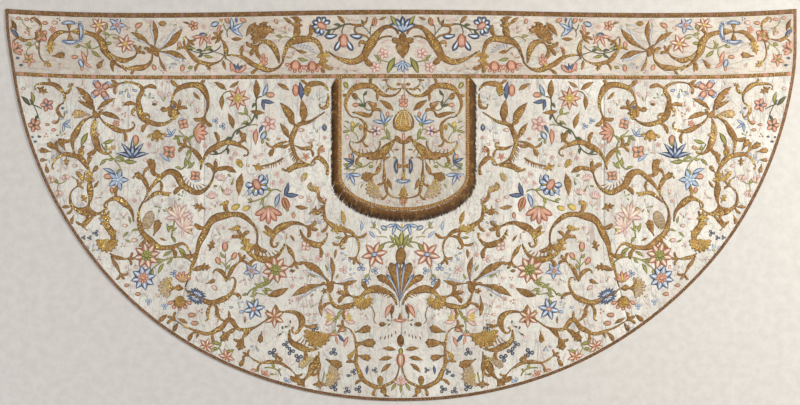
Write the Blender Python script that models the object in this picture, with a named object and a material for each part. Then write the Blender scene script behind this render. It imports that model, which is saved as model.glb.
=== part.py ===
"""Embroidered cope, laid out flat with its outer face up: a half round of silk with an orphrey band along
its straight edge, a hood below the band, gold galloons along every edge and a fringe round the hood.

Metres. +X is along the straight edge, +Y from the hem towards the straight edge, +Z is the outer face.
The origin is under the middle of the cope's bounding box, on the surface that the cope lies on.
"""

import math
from collections import namedtuple

import bpy
import bmesh
import numpy as np
from mathutils import Vector
from mathutils.geometry import delaunay_2d_cdt

# ---- Driving dimensions --------------------------------------------------------------------------

HALF_WIDTH = 1.45  # half of the straight edge
DEPTH = 1.437  # straight edge to the lowest point of the hem
HEM_POWER = 2.08  # the hem is a superellipse of this power
EDGE_SAG = 0.021  # the straight edge sags between its corners
NECK_RISE = 0.018  # and rises again at the neck
NECK_SPREAD = 0.50  # share of the half width that the rise takes
ORPHREY_WIDTH = 0.235  # straight edge's corners to the band's lower seam, at its ends
ORPHREY_SAG = 0.019  # how much more that is further in
ORPHREY_RISE = 0.008  # and how much of it is lost again in the middle
LOOM_WIDTH = 0.733  # centre seam to side seam
SEAM_BEND_DEPTH = 0.80  # below this the side seam slants outwards
SEAM_SLANT = 0.28
LEAN = 0.010  # the cope lies a little askew: its middle is this far to the right of its straight edge
LEAN_DEPTHS = (0.02, 0.25, 0.79, 1.20)  # where the lean starts, is full, fades and ends

WALL = 0.0016  # silk and its backing
GAP = 0.0003  # between pieces that touch
EDGE_GALLOON = 0.017  # width of the galloon along the straight edge
BAND_GALLOON = 0.014  # over the band's seam
HEM_GALLOON = 0.011
HOOD_GALLOON = 0.012
GALLOON_EDGE = 0.0007  # a galloon's thickness at its sides
GALLOON_CROWN = 0.0010  # and along its middle
EMBROIDERY_HEIGHT = 0.0012  # padded gold work over the silk
CREASE_SWAY = 0.006  # a crease sways to each side by this
CREASE_WAVE = 0.46  # over this length
CREASE_STEP = 0.17  # spacing of stations along a crease
CREASE_ENDS = 0.06  # share of the swell's half wave that is left out at either end

HOOD_HALF_WIDTH = 0.240
HOOD_STRAIGHT_END = 0.608  # depth at which the hood's sides turn into its round end
HOOD_ROUND = 0.131  # height of the round end

FRINGE_BAND = 0.005  # width of the strip that carries the strands
FRINGE_HEIGHT = 0.0016
STRAND_LENGTH = 0.040
STRAND_WIDTH = 0.0028
STRAND_PITCH = 0.0057
STRANDS_A_BAY = 2  # strands between two stations of the strip's inner side
STRAND_TIP = 0.55  # tip size as a share of the root
STRAND_OUTWARD = 0.62  # outward share of a strand's direction, against 1 towards the hem

HEM_STEP = 0.055  # spacing of outline points
SEAM_STEP = 0.09  # and along the side seams
HOOD_SIDE_STEP = 0.2  # steps of hood_point's parameter along its straight sides
HOOD_END_STEP = 0.04  # and round its end
HOOD_TRIM_STEP = 0.03
MERGE = 0.0006  # points of a panel's upper face closer than this become one
EXACT = 1e-6  # and of its underside
HEM_STATIONS = 90  # sections of the galloon along the hem
STEM_STEP = 0.070  # longest run of a scroll between two stations
STEM_TURN = math.radians(36)  # and most that it turns between them
CURL_RADIUS = 0.014  # first radius of the volute of a stem 20 mm wide
CURL_SHRINK = 0.20  # how fast the volute tightens, per radian
EDGE_MARGIN = 0.003  # ridges and flat borders end this far inside a panel's outline
END_SLANT = 1.15  # the band's galloon stops this many widths of the hem's galloon from the hem
FLAT_MARGIN = 0.001  # a panel is flat this far past the trim that lies on it
FADE_WIDTH = 0.008  # and its ridges reach their full height over this

CM = 0.01
MM = 0.001

# ---- Creases -------------------------------------------------------------------------------------
# Soft upright folds of the body silk. x, top and bottom in cm, height and half width in mm.

Crease = namedtuple("Crease", "x top bottom height half_width")

CREASES = (
    Crease(-131, 36, 62, 1.1, 13),
    Crease(-124.5, 30, 78, 1.5, 15),
    Crease(-117, 41, 88, 1.0, 12),
    Crease(-109.5, 29, 70, 1.6, 16),
    Crease(-103, 48, 99, 1.3, 14),
    Crease(-95.5, 31, 83, 1.1, 12),
    Crease(-89, 39, 110, 1.7, 17),
    Crease(-81, 28, 66, 1.2, 13),
    Crease(-77.5, 60, 117, 1.4, 15),
    Crease(-68, 33, 92, 1.2, 13),
    Crease(-61.5, 28, 74, 1.6, 16),
    Crease(-56, 66, 124, 1.3, 14),
    Crease(-49, 35, 88, 1.1, 12),
    Crease(-42.5, 29, 61, 1.5, 15),
    Crease(-37, 58, 131, 1.2, 14),
    Crease(-31, 34, 80, 1.0, 12),
    Crease(-22.5, 82, 133, 1.5, 15),
    Crease(-14, 80, 126, 1.1, 13),
    Crease(-6.5, 84, 138, 1.3, 13),
    Crease(5.5, 81, 119, 1.2, 13),
    Crease(12, 88, 137, 1.4, 15),
    Crease(20.5, 83, 128, 1.0, 12),
    Crease(29, 36, 69, 1.3, 13),
    Crease(33.5, 74, 133, 1.5, 16),
    Crease(40, 28, 84, 1.1, 12),
    Crease(47.5, 52, 127, 1.4, 15),
    Crease(52, 29, 68, 1.5, 14),
    Crease(58.5, 60, 121, 1.1, 13),
    Crease(65, 31, 96, 1.7, 17),
    Crease(71, 28, 59, 1.0, 11),
    Crease(78, 44, 115, 1.3, 15),
    Crease(84.5, 29, 77, 1.5, 14),
    Crease(91, 56, 108, 1.2, 13),
    Crease(98.5, 30, 72, 1.6, 16),
    Crease(105, 46, 97, 1.1, 13),
    Crease(112, 28, 63, 1.3, 13),
    Crease(118.5, 40, 85, 1.5, 16),
    Crease(126, 29, 73, 1.0, 12),
    Crease(132.5, 38, 61, 1.3, 13),
)

# ---- The gold scrollwork -------------------------------------------------------------------------
# One half of a mirrored design. knots are in cm: x from the centre line, y down from the straight edge's
# corners.
# width is the scroll's width in cm, curl the turn of its volute in degrees, clockwise as seen.

Stem = namedtuple("Stem", "width curl knots")

ORPHREY_STEMS = (
    Stem(2.4, 0, ((2.5, 9.5), (5, 6.3), (9.5, 8), (12.5, 13.5), (16, 18), (22, 18.8), (28, 15.5))),
    Stem(1.4, 150, ((12.5, 12.5), (15.5, 12.3))),
    Stem(2.0, 0, ((31.5, 19.5), (30.5, 15), (33, 11.5), (38, 11.2), (43, 14.5), (45.5, 19.5))),
    Stem(1.9, 0, ((44.5, 19), (48, 21.8), (53, 21.5), (58, 18.5), (64, 16.8), (66.5, 12))),
    Stem(1.5, 0, ((64, 17), (69, 19.2), (75, 19.8), (79, 15.5), (79.3, 10.5))),
    Stem(2.4, -60, ((40.5, 11.3), (38.3, 8.5), (38, 5))),
    Stem(2.2, 150, ((46.5, 20), (46.5, 14), (49.5, 11.5), (52.5, 12.5))),
    Stem(2.0, 0, ((92, 16.5), (94.5, 20.5), (101, 21.8), (107, 18.5), (110, 13), (114, 9.3), (118, 8.5))),
    Stem(1.6, 0, ((98, 15.8), (101, 19), (105.5, 17.8), (108.5, 15.2))),
    Stem(1.6, 120, ((123, 8.8), (127.5, 10), (130, 14.5))),
    Stem(1.2, 190, ((132.5, 8.8), (132.8, 5.2), (135.3, 3.8))),
    Stem(1.2, 0, ((136, 11), (139.3, 11), (142, 7))),
)

HOOD_STEMS = (
    Stem(1.9, 0, ((1, 29), (3, 31.8), (7, 32.2), (11.5, 29.3), (16.5, 28), (21, 30.5), (22, 35.5), (19, 40))),
    Stem(1.7, -110, ((19.5, 39.7), (15.8, 42), (15, 46), (18, 49.3))),
    Stem(2.4, -60, ((2, 48), (6, 49.5), (9.5, 53.2), (15, 54.3), (20, 51.8), (21.5, 48.5))),
    Stem(1.3, 60, ((8.3, 54), (8.3, 60), (7.2, 65.5), (3, 68.3))),
    Stem(2.6, 0, ((10, 57), (11, 60.3), (14.5, 62))),
    Stem(1.5, 0, ((0.8, 36.5), (3.6, 39), (4, 44), (1, 48.5))),
)

BODY_STEMS = (
    # beside the hood
    Stem(2.0, 110, ((28.5, 30), (31, 27.5), (35, 27.5), (37.3, 30))),
    Stem(1.7, -130, ((28.8, 31), (28.6, 34.5), (30.5, 36.3))),
    Stem(1.9, 100, ((30, 37.8), (35, 41), (40, 43), (42, 48), (40.5, 54), (35, 57.3))),
    Stem(1.5, 150, ((41, 50), (37, 51.3), (34.8, 50.3))),
    Stem(1.4, 60, ((42.5, 48.7), (47, 49.7), (50, 53))),
    Stem(1.8, 0, ((28.5, 61), (29.5, 56.8), (32.3, 54.6), (35.5, 57.4))),
    Stem(2.4, -70, ((36, 57.5), (40, 57.6), (43.5, 59))),
    Stem(2.2, -150, ((29, 57.5), (29.2, 62), (31.5, 65.8), (35, 66.3))),
    # branch under the hood's corner
    Stem(1.7, 0, ((28, 68.5), (30, 72), (29.3, 77), (24.5, 80.5), (18.5, 82), (15.5, 86.5), (16.3, 91))),
    Stem(1.6, 110, ((30, 71.5), (32, 74.5), (34, 74.5))),
    Stem(1.5, 160, ((17.5, 83.5), (21, 84), (22.5, 87))),
    # acanthus scrolls of the middle field
    Stem(2.4, 210, ((36.5, 79.8), (42, 78.5), (47, 80.8), (49.5, 85.5))),
    Stem(2.2, 60, ((39, 80.8), (36, 85.3), (32, 86.5), (28.5, 83.8))),
    Stem(2.3, 0, ((44.5, 86), (47, 90.5), (52, 92), (57, 89.5), (60, 84.5))),
    Stem(1.8, 0, ((44, 86.5), (42, 89), (40.5, 92.5))),
    # great scroll and trunk of the side field
    Stem(2.2, -160, ((75.5, 59), (72.8, 52.7), (66, 49), (58.5, 51.5))),
    Stem(2.0, 0, ((75, 58), (76.8, 53), (80.5, 50.5))),
    Stem(2.5, 0, (
        (70.5, 60), (72.5, 65), (77, 67.3), (81.5, 65),
        (84, 61), (88, 60), (93, 64.8), (96.5, 71),
    )),
    Stem(2.3, 0, ((96, 70), (98.3, 76), (96.5, 82), (91.5, 86.8), (86, 87.5), (81.5, 86), (78.3, 91))),
    Stem(1.8, 90, ((95, 69), (95.5, 63.5), (98.8, 61))),
    Stem(1.6, -70, ((96, 71), (92, 67.8), (88, 67.5))),
    Stem(2.6, 0, (
        (54.7, 86), (55.5, 80), (60, 76), (66.5, 75.5), (72, 78.5),
        (75.3, 85), (77.5, 93), (80, 102),
    )),
    Stem(2.0, 160, ((80, 102.5), (75, 106), (68.5, 107.5), (63, 104.3), (61.7, 99.5))),
    Stem(1.8, 0, ((65, 100), (63.5, 96), (60.5, 92.5))),
    Stem(1.8, 80, ((65, 100), (66.8, 96.5), (69, 95.5))),
    Stem(1.4, -120, ((69, 108), (71, 110.5), (70.8, 113))),
    Stem(2.6, 0, ((80.5, 102.5), (84, 102), (87, 102.5))),
    # straight-edge side of the side field
    Stem(2.4, 0, ((74, 39.5), (72.8, 33), (75.3, 28.8), (80, 27.8), (84.5, 30.3), (86.3, 35.5))),
    Stem(2.2, 0, (
        (84, 37), (86.5, 41), (92, 42.3), (97, 39.3),
        (98.3, 34), (96.8, 29.5), (100.5, 27), (105.5, 27.5),
    )),
    Stem(1.4, -150, ((98, 38), (94.8, 38.8))),
    Stem(1.4, 150, ((98.5, 35.5), (100.5, 37.8))),
    Stem(1.8, 100, ((112.5, 39.5), (108.5, 43.2), (103, 44.8), (99.8, 43.2))),
    Stem(2.3, 0, ((115.5, 39.5), (119.5, 42.5), (122.2, 48), (121.5, 53.5))),
    Stem(2.5, 80, ((114.2, 40.5), (114.7, 45), (113.5, 50), (110.5, 53))),
    # towards the corner
    Stem(1.7, 110, ((126, 35), (125.8, 30.5), (130, 27.6), (135.5, 27.8))),
    Stem(1.4, 170, ((126, 34.5), (128, 37), (126.5, 39.5))),
    Stem(1.4, 150, ((125.8, 31.5), (123.3, 29.8))),
    # hem side of the side field
    Stem(2.0, 60, ((115.5, 64), (117, 57.7), (121.5, 53.8), (126.5, 53.6), (129.8, 57.2))),
    Stem(2.6, 0, ((116.5, 62), (115.8, 67), (116.5, 72))),
    Stem(1.5, 90, ((120.5, 65), (123.2, 68), (122.5, 72), (118.5, 74.8), (113, 75), (109.5, 72))),
    Stem(1.4, 90, ((113, 75), (116.3, 77.3), (117.8, 80))),
    Stem(2.2, 120, ((100, 78), (101.7, 72.7), (106, 69.7), (110.3, 71))),
    Stem(2.8, 0, ((109, 74), (109.7, 79), (107.5, 83.5), (109, 88))),
    Stem(1.6, 0, ((108.5, 89.5), (105, 91.3), (101.5, 91.5))),
    Stem(1.6, 0, ((108, 90.5), (105.8, 94), (104, 97))),
    # lower middle
    Stem(2.0, -60, ((0.9, 108.5), (3, 104.7), (7.5, 102.5), (12.5, 104), (17, 106.3))),
    Stem(1.9, 0, ((10.5, 104.5), (14, 107.5), (20, 109.5), (25, 107), (26.3, 102))),
    Stem(2.2, -190, ((44, 111.3), (39.3, 111.2), (36.4, 114.5), (37.8, 118.3))),
    Stem(2.5, 0, ((40.8, 117.5), (40, 122), (35.5, 124.6), (30, 124.5))),
    Stem(1.6, 0, ((30, 125.5), (30.2, 131), (30, 136.5))),
    Stem(3.0, 0, ((30.8, 127), (32.5, 132), (35.5, 135.8))),
    Stem(1.6, 60, (
        (1, 130), (3.2, 135.3), (8, 137.3), (13.3, 134.8),
        (15.7, 129), (16.2, 123), (18.5, 117.5),
    )),
    Stem(1.8, 0, (
        (49, 113.5), (54, 116.8), (59, 117.5), (63, 114),
        (66.5, 117.2), (71, 119), (77, 117.3), (83, 114),
    )),
    Stem(2.2, -80, ((56.5, 117.6), (59, 120.5), (59.8, 125))),
    Stem(2.8, 0, ((61.5, 117.6), (63.5, 120.2), (67, 121))),
    Stem(1.4, 0, ((38.5, 134.3), (42, 131), (46.5, 129.3), (51.5, 129.6), (56, 127))),
)

# ---- The garment's lines -------------------------------------------------------------------------


def smooth_step(value, low, high):
    t = min(max((value - low) / (high - low), 0.0), 1.0)
    return t * t * (3 - 2 * t)


def from_top(depth):
    """Y of a point that lies depth below the straight edge's corners."""
    return DEPTH / 2 - depth


def lean(depth):
    """How far to the right a point at this depth lies, because the cope is askew."""
    start, full, fade, end = LEAN_DEPTHS
    return LEAN * smooth_step(depth, start, full) * (1 - smooth_step(depth, fade, end))


def edge_y(x):
    u = abs(x) / HALF_WIDTH
    sag = EDGE_SAG * (1 - u**5) - NECK_RISE * math.exp(-((u / NECK_SPREAD) ** 2))
    return from_top(max(sag, 0.0))


def band_seam_y(x):
    u = abs(x) / HALF_WIDTH
    rise = ORPHREY_RISE * math.exp(-((u / NECK_SPREAD) ** 2))
    return from_top(ORPHREY_WIDTH + ORPHREY_SAG * (1 - u**6) - rise)


def hem_x(y):
    share = min(max((DEPTH / 2 - y) / DEPTH, 0.0), 1.0)
    return HALF_WIDTH * (1 - share**HEM_POWER) ** (1 / HEM_POWER)


def hem_y(x):
    share = min(abs(x) / HALF_WIDTH, 1.0)
    return from_top(DEPTH * (1 - share**HEM_POWER) ** (1 / HEM_POWER))


def side_seam_x(y):
    return LOOM_WIDTH + SEAM_SLANT * max(0.0, DEPTH / 2 - y - SEAM_BEND_DEPTH)


def hem_point(angle, inset=0.0):
    """Point of the hem at an angle from 0, the right corner, to pi, the left one, moved inwards by inset."""
    c, s = math.cos(angle), math.sin(angle)
    x = HALF_WIDTH * math.copysign(abs(c) ** (2 / HEM_POWER), c)
    y = from_top(DEPTH * abs(s) ** (2 / HEM_POWER))
    nx = math.copysign(abs(x / HALF_WIDTH) ** (HEM_POWER - 1), c) / HALF_WIDTH
    ny = -(((DEPTH / 2 - y) / DEPTH) ** (HEM_POWER - 1)) / DEPTH
    size = math.hypot(nx, ny)
    return (x - inset * nx / size, y - inset * ny / size)


def hood_point(t, outset=0.0):
    """Point of the hood's outline and its outward normal. t runs from 0 to 1 down the left side, to 2 round
    the end and to 3 up the right side."""
    top = band_seam_y(HOOD_HALF_WIDTH) - BAND_GALLOON / 2 - GAP
    turn = from_top(HOOD_STRAIGHT_END)
    if t <= 1:
        point, normal = (-HOOD_HALF_WIDTH, top + (turn - top) * t), (-1.0, 0.0)
    elif t >= 2:
        point, normal = (HOOD_HALF_WIDTH, turn + (top - turn) * (t - 2)), (1.0, 0.0)
    else:
        a = math.pi * (t - 1)
        point = (-HOOD_HALF_WIDTH * math.cos(a), turn - HOOD_ROUND * math.sin(a))
        nx, ny = -math.cos(a) / HOOD_HALF_WIDTH, -math.sin(a) / HOOD_ROUND
        normal = (nx / math.hypot(nx, ny), ny / math.hypot(nx, ny))
    return (point[0] + outset * normal[0], point[1] + outset * normal[1]), normal


def hood_clearance(x, y):
    """How far a point lies outside the hood, roughly, and negative inside it."""
    turn = from_top(HOOD_STRAIGHT_END)
    if y >= turn:
        return abs(x) - HOOD_HALF_WIDTH
    reach = math.hypot(x / HOOD_HALF_WIDTH, (y - turn) / HOOD_ROUND)
    return (reach - 1) * min(HOOD_HALF_WIDTH, HOOD_ROUND)


def walk(count, point_at, start, stop):
    """Points of a line at equal steps of its parameter."""
    return [point_at(start + (stop - start) * i / count) for i in range(count + 1)]


def even_walk(point_at, start, stop, step):
    """Points of a line at equal distances, found on a fine copy of it."""
    fine = np.array(walk(400, point_at, start, stop))
    reach = np.concatenate(([0.0], np.cumsum(np.linalg.norm(np.diff(fine, axis=0), axis=1))))
    marks = np.linspace(0.0, reach[-1], max(2, round(reach[-1] / step)) + 1)
    return [(float(np.interp(m, reach, fine[:, 0])), float(np.interp(m, reach, fine[:, 1]))) for m in marks]


# ---- Ridges: scrollwork and creases --------------------------------------------------------------

Ridge = namedtuple("Ridge", "points half_widths heights")


def spline(knots):
    """A smooth curve through the knots, with stations where it bends or runs long."""
    knots = [Vector(k) for k in knots]
    if len(knots) == 2:
        return knots
    slopes = [(knots[i + 1] - knots[i - 1]) / 2 for i in range(1, len(knots) - 1)]
    slopes.insert(0, 2 * (knots[1] - knots[0]) - slopes[0])
    slopes.append(2 * (knots[-1] - knots[-2]) - slopes[-1])
    points = [knots[0]]
    for i in range(len(knots) - 1):
        a, b, ta, tb = knots[i], knots[i + 1], slopes[i], slopes[i + 1]
        by_turn = math.ceil(abs(ta.angle_signed(tb)) / STEM_TURN)
        steps = max(1, by_turn, math.ceil((b - a).length / STEM_STEP))
        for k in range(1, steps + 1):
            t = k / steps
            h00, h10 = 2 * t**3 - 3 * t**2 + 1, t**3 - 2 * t**2 + t
            h01, h11 = 3 * t**2 - 2 * t**3, t**3 - t**2
            points.append(a * h00 + ta * h10 + b * h01 + tb * h11)
    return points


def volute(points, curl, width):
    """Carries the line on into a spiral that tightens as it turns."""
    heading = (points[-1] - points[-2]).normalized()
    angle = math.atan2(heading.y, heading.x)
    steps = math.ceil(abs(curl) / STEM_TURN)
    turn = curl / steps if steps else 0.0
    radius = CURL_RADIUS * width / 0.02
    line = []
    at = points[-1]
    for _ in range(steps):
        angle += turn / 2
        at = at + Vector((math.cos(angle), math.sin(angle))) * radius * abs(turn)
        angle += turn / 2
        radius *= math.exp(-CURL_SHRINK * abs(turn))
        line.append(at)
    return line


def stem_ridge(stem, mirrored):
    side = -1 if mirrored else 1
    knots = [(x * CM - lean(y * CM), from_top(y * CM)) for x, y in stem.knots]
    points = spline(knots)
    points += volute(points, -math.radians(stem.curl), stem.width * CM)
    last = len(points) - 1
    swells = [math.sin(math.pi * i / last) for i in range(last + 1)]
    half_widths = [stem.width * CM / 2 * (0.5 + 0.5 * swell) for swell in swells]
    points = [Vector((side * p.x, p.y)) for p in points]
    return Ridge(points, half_widths, [EMBROIDERY_HEIGHT] * len(points))


def crease_ridge(crease):
    """A crease as a ridge that swells from nothing at either end."""
    x, top, bottom = crease.x * CM, from_top(crease.top * CM), from_top(crease.bottom * CM)
    steps = max(3, round((top - bottom) / CREASE_STEP))
    points, half_widths, heights = [], [], []
    for i in range(steps + 1):
        y = top + (bottom - top) * i / steps
        sway = CREASE_SWAY * math.sin(2 * math.pi * (y - top) / CREASE_WAVE + crease.x)
        swell = math.sin(math.pi * (CREASE_ENDS + (1 - 2 * CREASE_ENDS) * i / steps))
        points.append(Vector((x + sway, y)))
        half_widths.append(crease.half_width * MM * (0.4 + 0.6 * swell))
        heights.append(crease.height * MM * swell)
    return Ridge(points, half_widths, heights)


def ridge_lines(ridge):
    """The crest and the two feet of a ridge."""
    points = ridge.points
    feet = ([], [])
    for i, p in enumerate(points):
        along = points[min(i + 1, len(points) - 1)] - points[max(i - 1, 0)]
        across = Vector((-along.y, along.x)).normalized() * ridge.half_widths[i]
        feet[0].append(p + across)
        feet[1].append(p - across)
    return points, feet[0], feet[1]


class Relief:
    """Height of the ridges over a panel at any point."""

    def __init__(self, ridges):
        rows = []
        for ridge in ridges:
            for i in range(len(ridge.points) - 1):
                a, b = ridge.points[i], ridge.points[i + 1]
                rows.append((a.x, a.y, b.x, b.y, *ridge.half_widths[i : i + 2], *ridge.heights[i : i + 2]))
        self.rows = np.array(rows) if rows else None

    def __call__(self, x, y):
        if self.rows is None:
            return 0.0
        ax, ay, bx, by, wa, wb, ha, hb = self.rows.T
        dx, dy = bx - ax, by - ay
        t = np.clip(((x - ax) * dx + (y - ay) * dy) / (dx * dx + dy * dy), 0.0, 1.0)
        away = np.hypot(x - ax - t * dx, y - ay - t * dy)
        share = 1 - away / (wa + (wb - wa) * t)
        return float(np.max(np.clip(share, 0.0, 1.0) * (ha + (hb - ha) * t)))


# ---- Solids --------------------------------------------------------------------------------------


def outline_distance(outline, x, y):
    """Distance from a point to a closed outline, negative outside it."""
    a = outline
    b = np.roll(outline, -1, axis=0)
    d = b - a
    t = np.clip(((x - a[:, 0]) * d[:, 0] + (y - a[:, 1]) * d[:, 1]) / (d**2).sum(axis=1), 0.0, 1.0)
    away = float(np.min(np.hypot(x - a[:, 0] - t * d[:, 0], y - a[:, 1] - t * d[:, 1])))
    crosses = (a[:, 1] > y) != (b[:, 1] > y)
    at = a[crosses, 0] + (y - a[crosses, 1]) * d[crosses, 0] / d[crosses, 1]
    return away if np.count_nonzero(at > x) % 2 else -away


def make_object(name, mesh, material, collection):
    """The mesh as an object, laid askew as the whole cope is."""
    for vertex in mesh.vertices:
        vertex.co.x += lean(DEPTH / 2 - vertex.co.y)
    obj = bpy.data.objects.new(name, mesh)
    collection.objects.link(obj)
    mesh.materials.append(material)
    return obj


def clipped(line, frame):
    """The stretches of a line that lie inside an outline by EDGE_MARGIN."""

    def inside(p):
        return outline_distance(frame, p.x, p.y) >= EDGE_MARGIN

    def crossing(within, without):
        for _ in range(12):
            middle = (within + without) / 2
            if inside(middle):
                within = middle
            else:
                without = middle
        return within

    stretches = []
    current = []
    for i, p in enumerate(line):
        if inside(p):
            if not current and i:
                current.append(crossing(p, line[i - 1]))
            current.append(p)
        elif current:
            current.append(crossing(current[-1], p))
            stretches.append(current)
            current = []
    if current:
        stretches.append(current)
    return stretches


def panel(name, outline, ridges, borders, fade, base, material, collection):
    """A sheet over outline with a plain underside at height base and the ridges raised in its upper face.
    borders are the lines where the flat ground under trim begins, and fade(x, y, distance to the outline)
    scales the ridges down to them."""
    frame = np.array(outline)
    relief = Relief(ridges)
    coords = [Vector(p) for p in outline]
    edges = [(i, (i + 1) % len(outline)) for i in range(len(outline))]
    lines = [line for ridge in ridges for line in ridge_lines(ridge)]
    lines += [[Vector(p) for p in border] for border in borders]
    for line in lines:
        for stretch in clipped(line, frame):
            first = len(coords)
            coords += stretch
            edges += [(i, i + 1) for i in range(first, len(coords) - 1)]
    upper, _, triangles, origins, _, _ = delaunay_2d_cdt(coords, edges, [], 1, MERGE)
    rim = len(outline)
    _, _, floor, floor_origins, _, _ = delaunay_2d_cdt(coords[:rim], edges[:rim], [], 1, EXACT)

    work = bmesh.new()
    rim_top = {}
    tops = []
    for p, source in zip(upper, origins):
        rise = relief(p.x, p.y)
        if rise > 0.0:
            rise *= fade(p.x, p.y, outline_distance(frame, p.x, p.y))
        rims = [s for s in source if s < rim]
        vertex = work.verts.new((p.x, p.y, base + WALL + (0.0 if rims else rise)))
        tops.append(vertex)
        for s in rims:
            rim_top[s] = vertex
    rim_low = [work.verts.new((x, y, base)) for x, y in outline]
    for a, b, c in triangles:
        work.faces.new((tops[a], tops[b], tops[c]))
    for face in floor:
        work.faces.new([rim_low[floor_origins[v][0]] for v in reversed(face)])
    for i in range(rim):
        j = (i + 1) % rim
        work.faces.new((rim_low[i], rim_low[j], rim_top[j], rim_top[i]))
    bmesh.ops.recalc_face_normals(work, faces=work.faces)
    mesh = bpy.data.meshes.new(name)
    work.to_mesh(mesh)
    work.free()
    return make_object(name, mesh, material, collection)


def strip(name, left, right, base, material, collection):
    """A galloon between two edge lines, flat below and crowned above."""
    work = bmesh.new()
    sections = []
    for (ax, ay), (bx, by) in zip(left, right):
        low = [work.verts.new((ax, ay, base)), work.verts.new((bx, by, base))]
        high = [
            work.verts.new((bx, by, base + GALLOON_EDGE)),
            work.verts.new(((ax + bx) / 2, (ay + by) / 2, base + GALLOON_CROWN)),
            work.verts.new((ax, ay, base + GALLOON_EDGE)),
        ]
        sections.append(low + high)
    for one, two in zip(sections, sections[1:]):
        for k in range(5):
            work.faces.new((one[k], one[(k + 1) % 5], two[(k + 1) % 5], two[k]))
    work.faces.new(sections[0])
    work.faces.new(list(reversed(sections[-1])))
    bmesh.ops.recalc_face_normals(work, faces=work.faces)
    mesh = bpy.data.meshes.new(name)
    work.to_mesh(mesh)
    work.free()
    return make_object(name, mesh, material, collection)


def fringe(name, base, material, collection):
    """A strip just outside the hood's edge, whose outer wall carries the strands."""

    def marks():
        """Parameters of the strip's stations: each strand's two sides, evenly along the strip."""
        fine = [i / 300 * 3 for i in range(301)]
        points = np.array([hood_point(t, GAP + FRINGE_BAND)[0] for t in fine])
        reach = np.concatenate(([0.0], np.cumsum(np.linalg.norm(np.diff(points, axis=0), axis=1))))
        count = int(reach[-1] / STRAND_PITCH)
        places = [0.0]
        for i in range(count):
            middle = reach[-1] * (i + 0.5) / count
            places += [middle - STRAND_WIDTH / 2, middle + STRAND_WIDTH / 2]
        places.append(reach[-1])
        return [float(np.interp(p, reach, fine)) for p in places]

    def wall(t, outset):
        """A lower and an upper point of one of the strip's sides."""
        x, y = hood_point(t, outset)[0]
        return work.verts.new((x, y, base)), work.verts.new((x, y, base + FRINGE_HEIGHT))

    work = bmesh.new()
    places = marks()
    outer = [wall(t, GAP + FRINGE_BAND) for t in places]
    bays = list(range(0, len(places) - 1, 2 * STRANDS_A_BAY)) + [len(places) - 1]
    inner = [wall(places[i], GAP) for i in bays]
    roots = []
    for i, (one, two) in enumerate(zip(outer, outer[1:])):
        face = work.faces.new((one[0], two[0], two[1], one[1]))
        if i % 2:
            roots.append((face, Vector(hood_point((places[i] + places[i + 1]) / 2)[1])))
    for one, two, start, stop in zip(inner, inner[1:], bays, bays[1:]):
        work.faces.new((one[0], one[1], two[1], two[0]))
        for level in (0, 1):
            work.faces.new([one[level], two[level]] + [outer[k][level] for k in range(stop, start - 1, -1)])
    work.faces.new((inner[0][0], inner[0][1], outer[0][1], outer[0][0]))
    work.faces.new((inner[-1][0], inner[-1][1], outer[-1][1], outer[-1][0]))
    bmesh.ops.recalc_face_normals(work, faces=work.faces)
    for face, normal in roots:
        way = Vector((normal.x * STRAND_OUTWARD, normal.y * STRAND_OUTWARD - 1.0, 0.0)).normalized()
        tip = bmesh.ops.extrude_discrete_faces(work, faces=[face])["faces"][0]
        foot = tip.calc_center_median()
        foot.z = base
        for vertex in tip.verts:
            vertex.co = foot + (vertex.co - foot) * STRAND_TIP + way * STRAND_LENGTH
    mesh = bpy.data.meshes.new(name)
    work.to_mesh(mesh)
    work.free()
    return make_object(name, mesh, material, collection)


# ---- Outlines of the pieces, clockwise, right half; the left ones are mirrored -------------------


def run(start, stop, step):
    count = max(1, round(abs(stop - start) / step))
    return [start + (stop - start) * i / count for i in range(count + 1)]


def hood_marks(end_step):
    """Parameters of hood_point along the whole outline."""
    return run(0, 1, HOOD_SIDE_STEP)[:-1] + run(1, 2, end_step)[:-1] + run(2, 3, HOOD_SIDE_STEP)


def hem_between(x_start, x_stop):
    """Hem points from one x to another, by angle, so that they stay even where the hem is steep."""

    def angle(x):
        return math.acos(min(1.0, (abs(x) / HALF_WIDTH) ** (HEM_POWER / 2)))

    return even_walk(hem_point, angle(x_start), angle(x_stop), HEM_STEP)


def corner_x():
    """x at which the band's lower seam meets the hem."""
    x = HALF_WIDTH
    for _ in range(20):
        x = hem_x(band_seam_y(x))
    return x


def seam_foot_x():
    """x at which the side seam meets the hem."""
    x = LOOM_WIDTH
    for _ in range(40):
        x = side_seam_x(hem_y(x))
    return x


def centre_seam(bottom, top):
    """The seam down the middle, upwards and without its ends."""
    return [(GAP / 2, y) for y in run(bottom, top, SEAM_STEP)][1:-1]


def orphrey_outline():
    top = [(x, edge_y(x)) for x in run(GAP / 2, HALF_WIDTH, HEM_STEP)]
    side = hem_between(HALF_WIDTH, corner_x())[1:-1]
    bottom = [(x, band_seam_y(x) + GAP / 2) for x in run(corner_x(), GAP / 2, HEM_STEP)]
    return top + side + bottom + centre_seam(bottom[-1][1], top[0][1])


def centre_outline():
    foot_x = seam_foot_x()
    top = [(x, band_seam_y(x) - GAP / 2) for x in run(GAP / 2, LOOM_WIDTH - GAP / 2, HEM_STEP)]
    side = [(side_seam_x(y) - GAP / 2, y) for y in run(top[-1][1], hem_y(foot_x), SEAM_STEP)][1:-1]
    hem = hem_between(foot_x - GAP / 2, GAP / 2)
    return top + side + hem + centre_seam(hem[-1][1], top[0][1])


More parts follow.
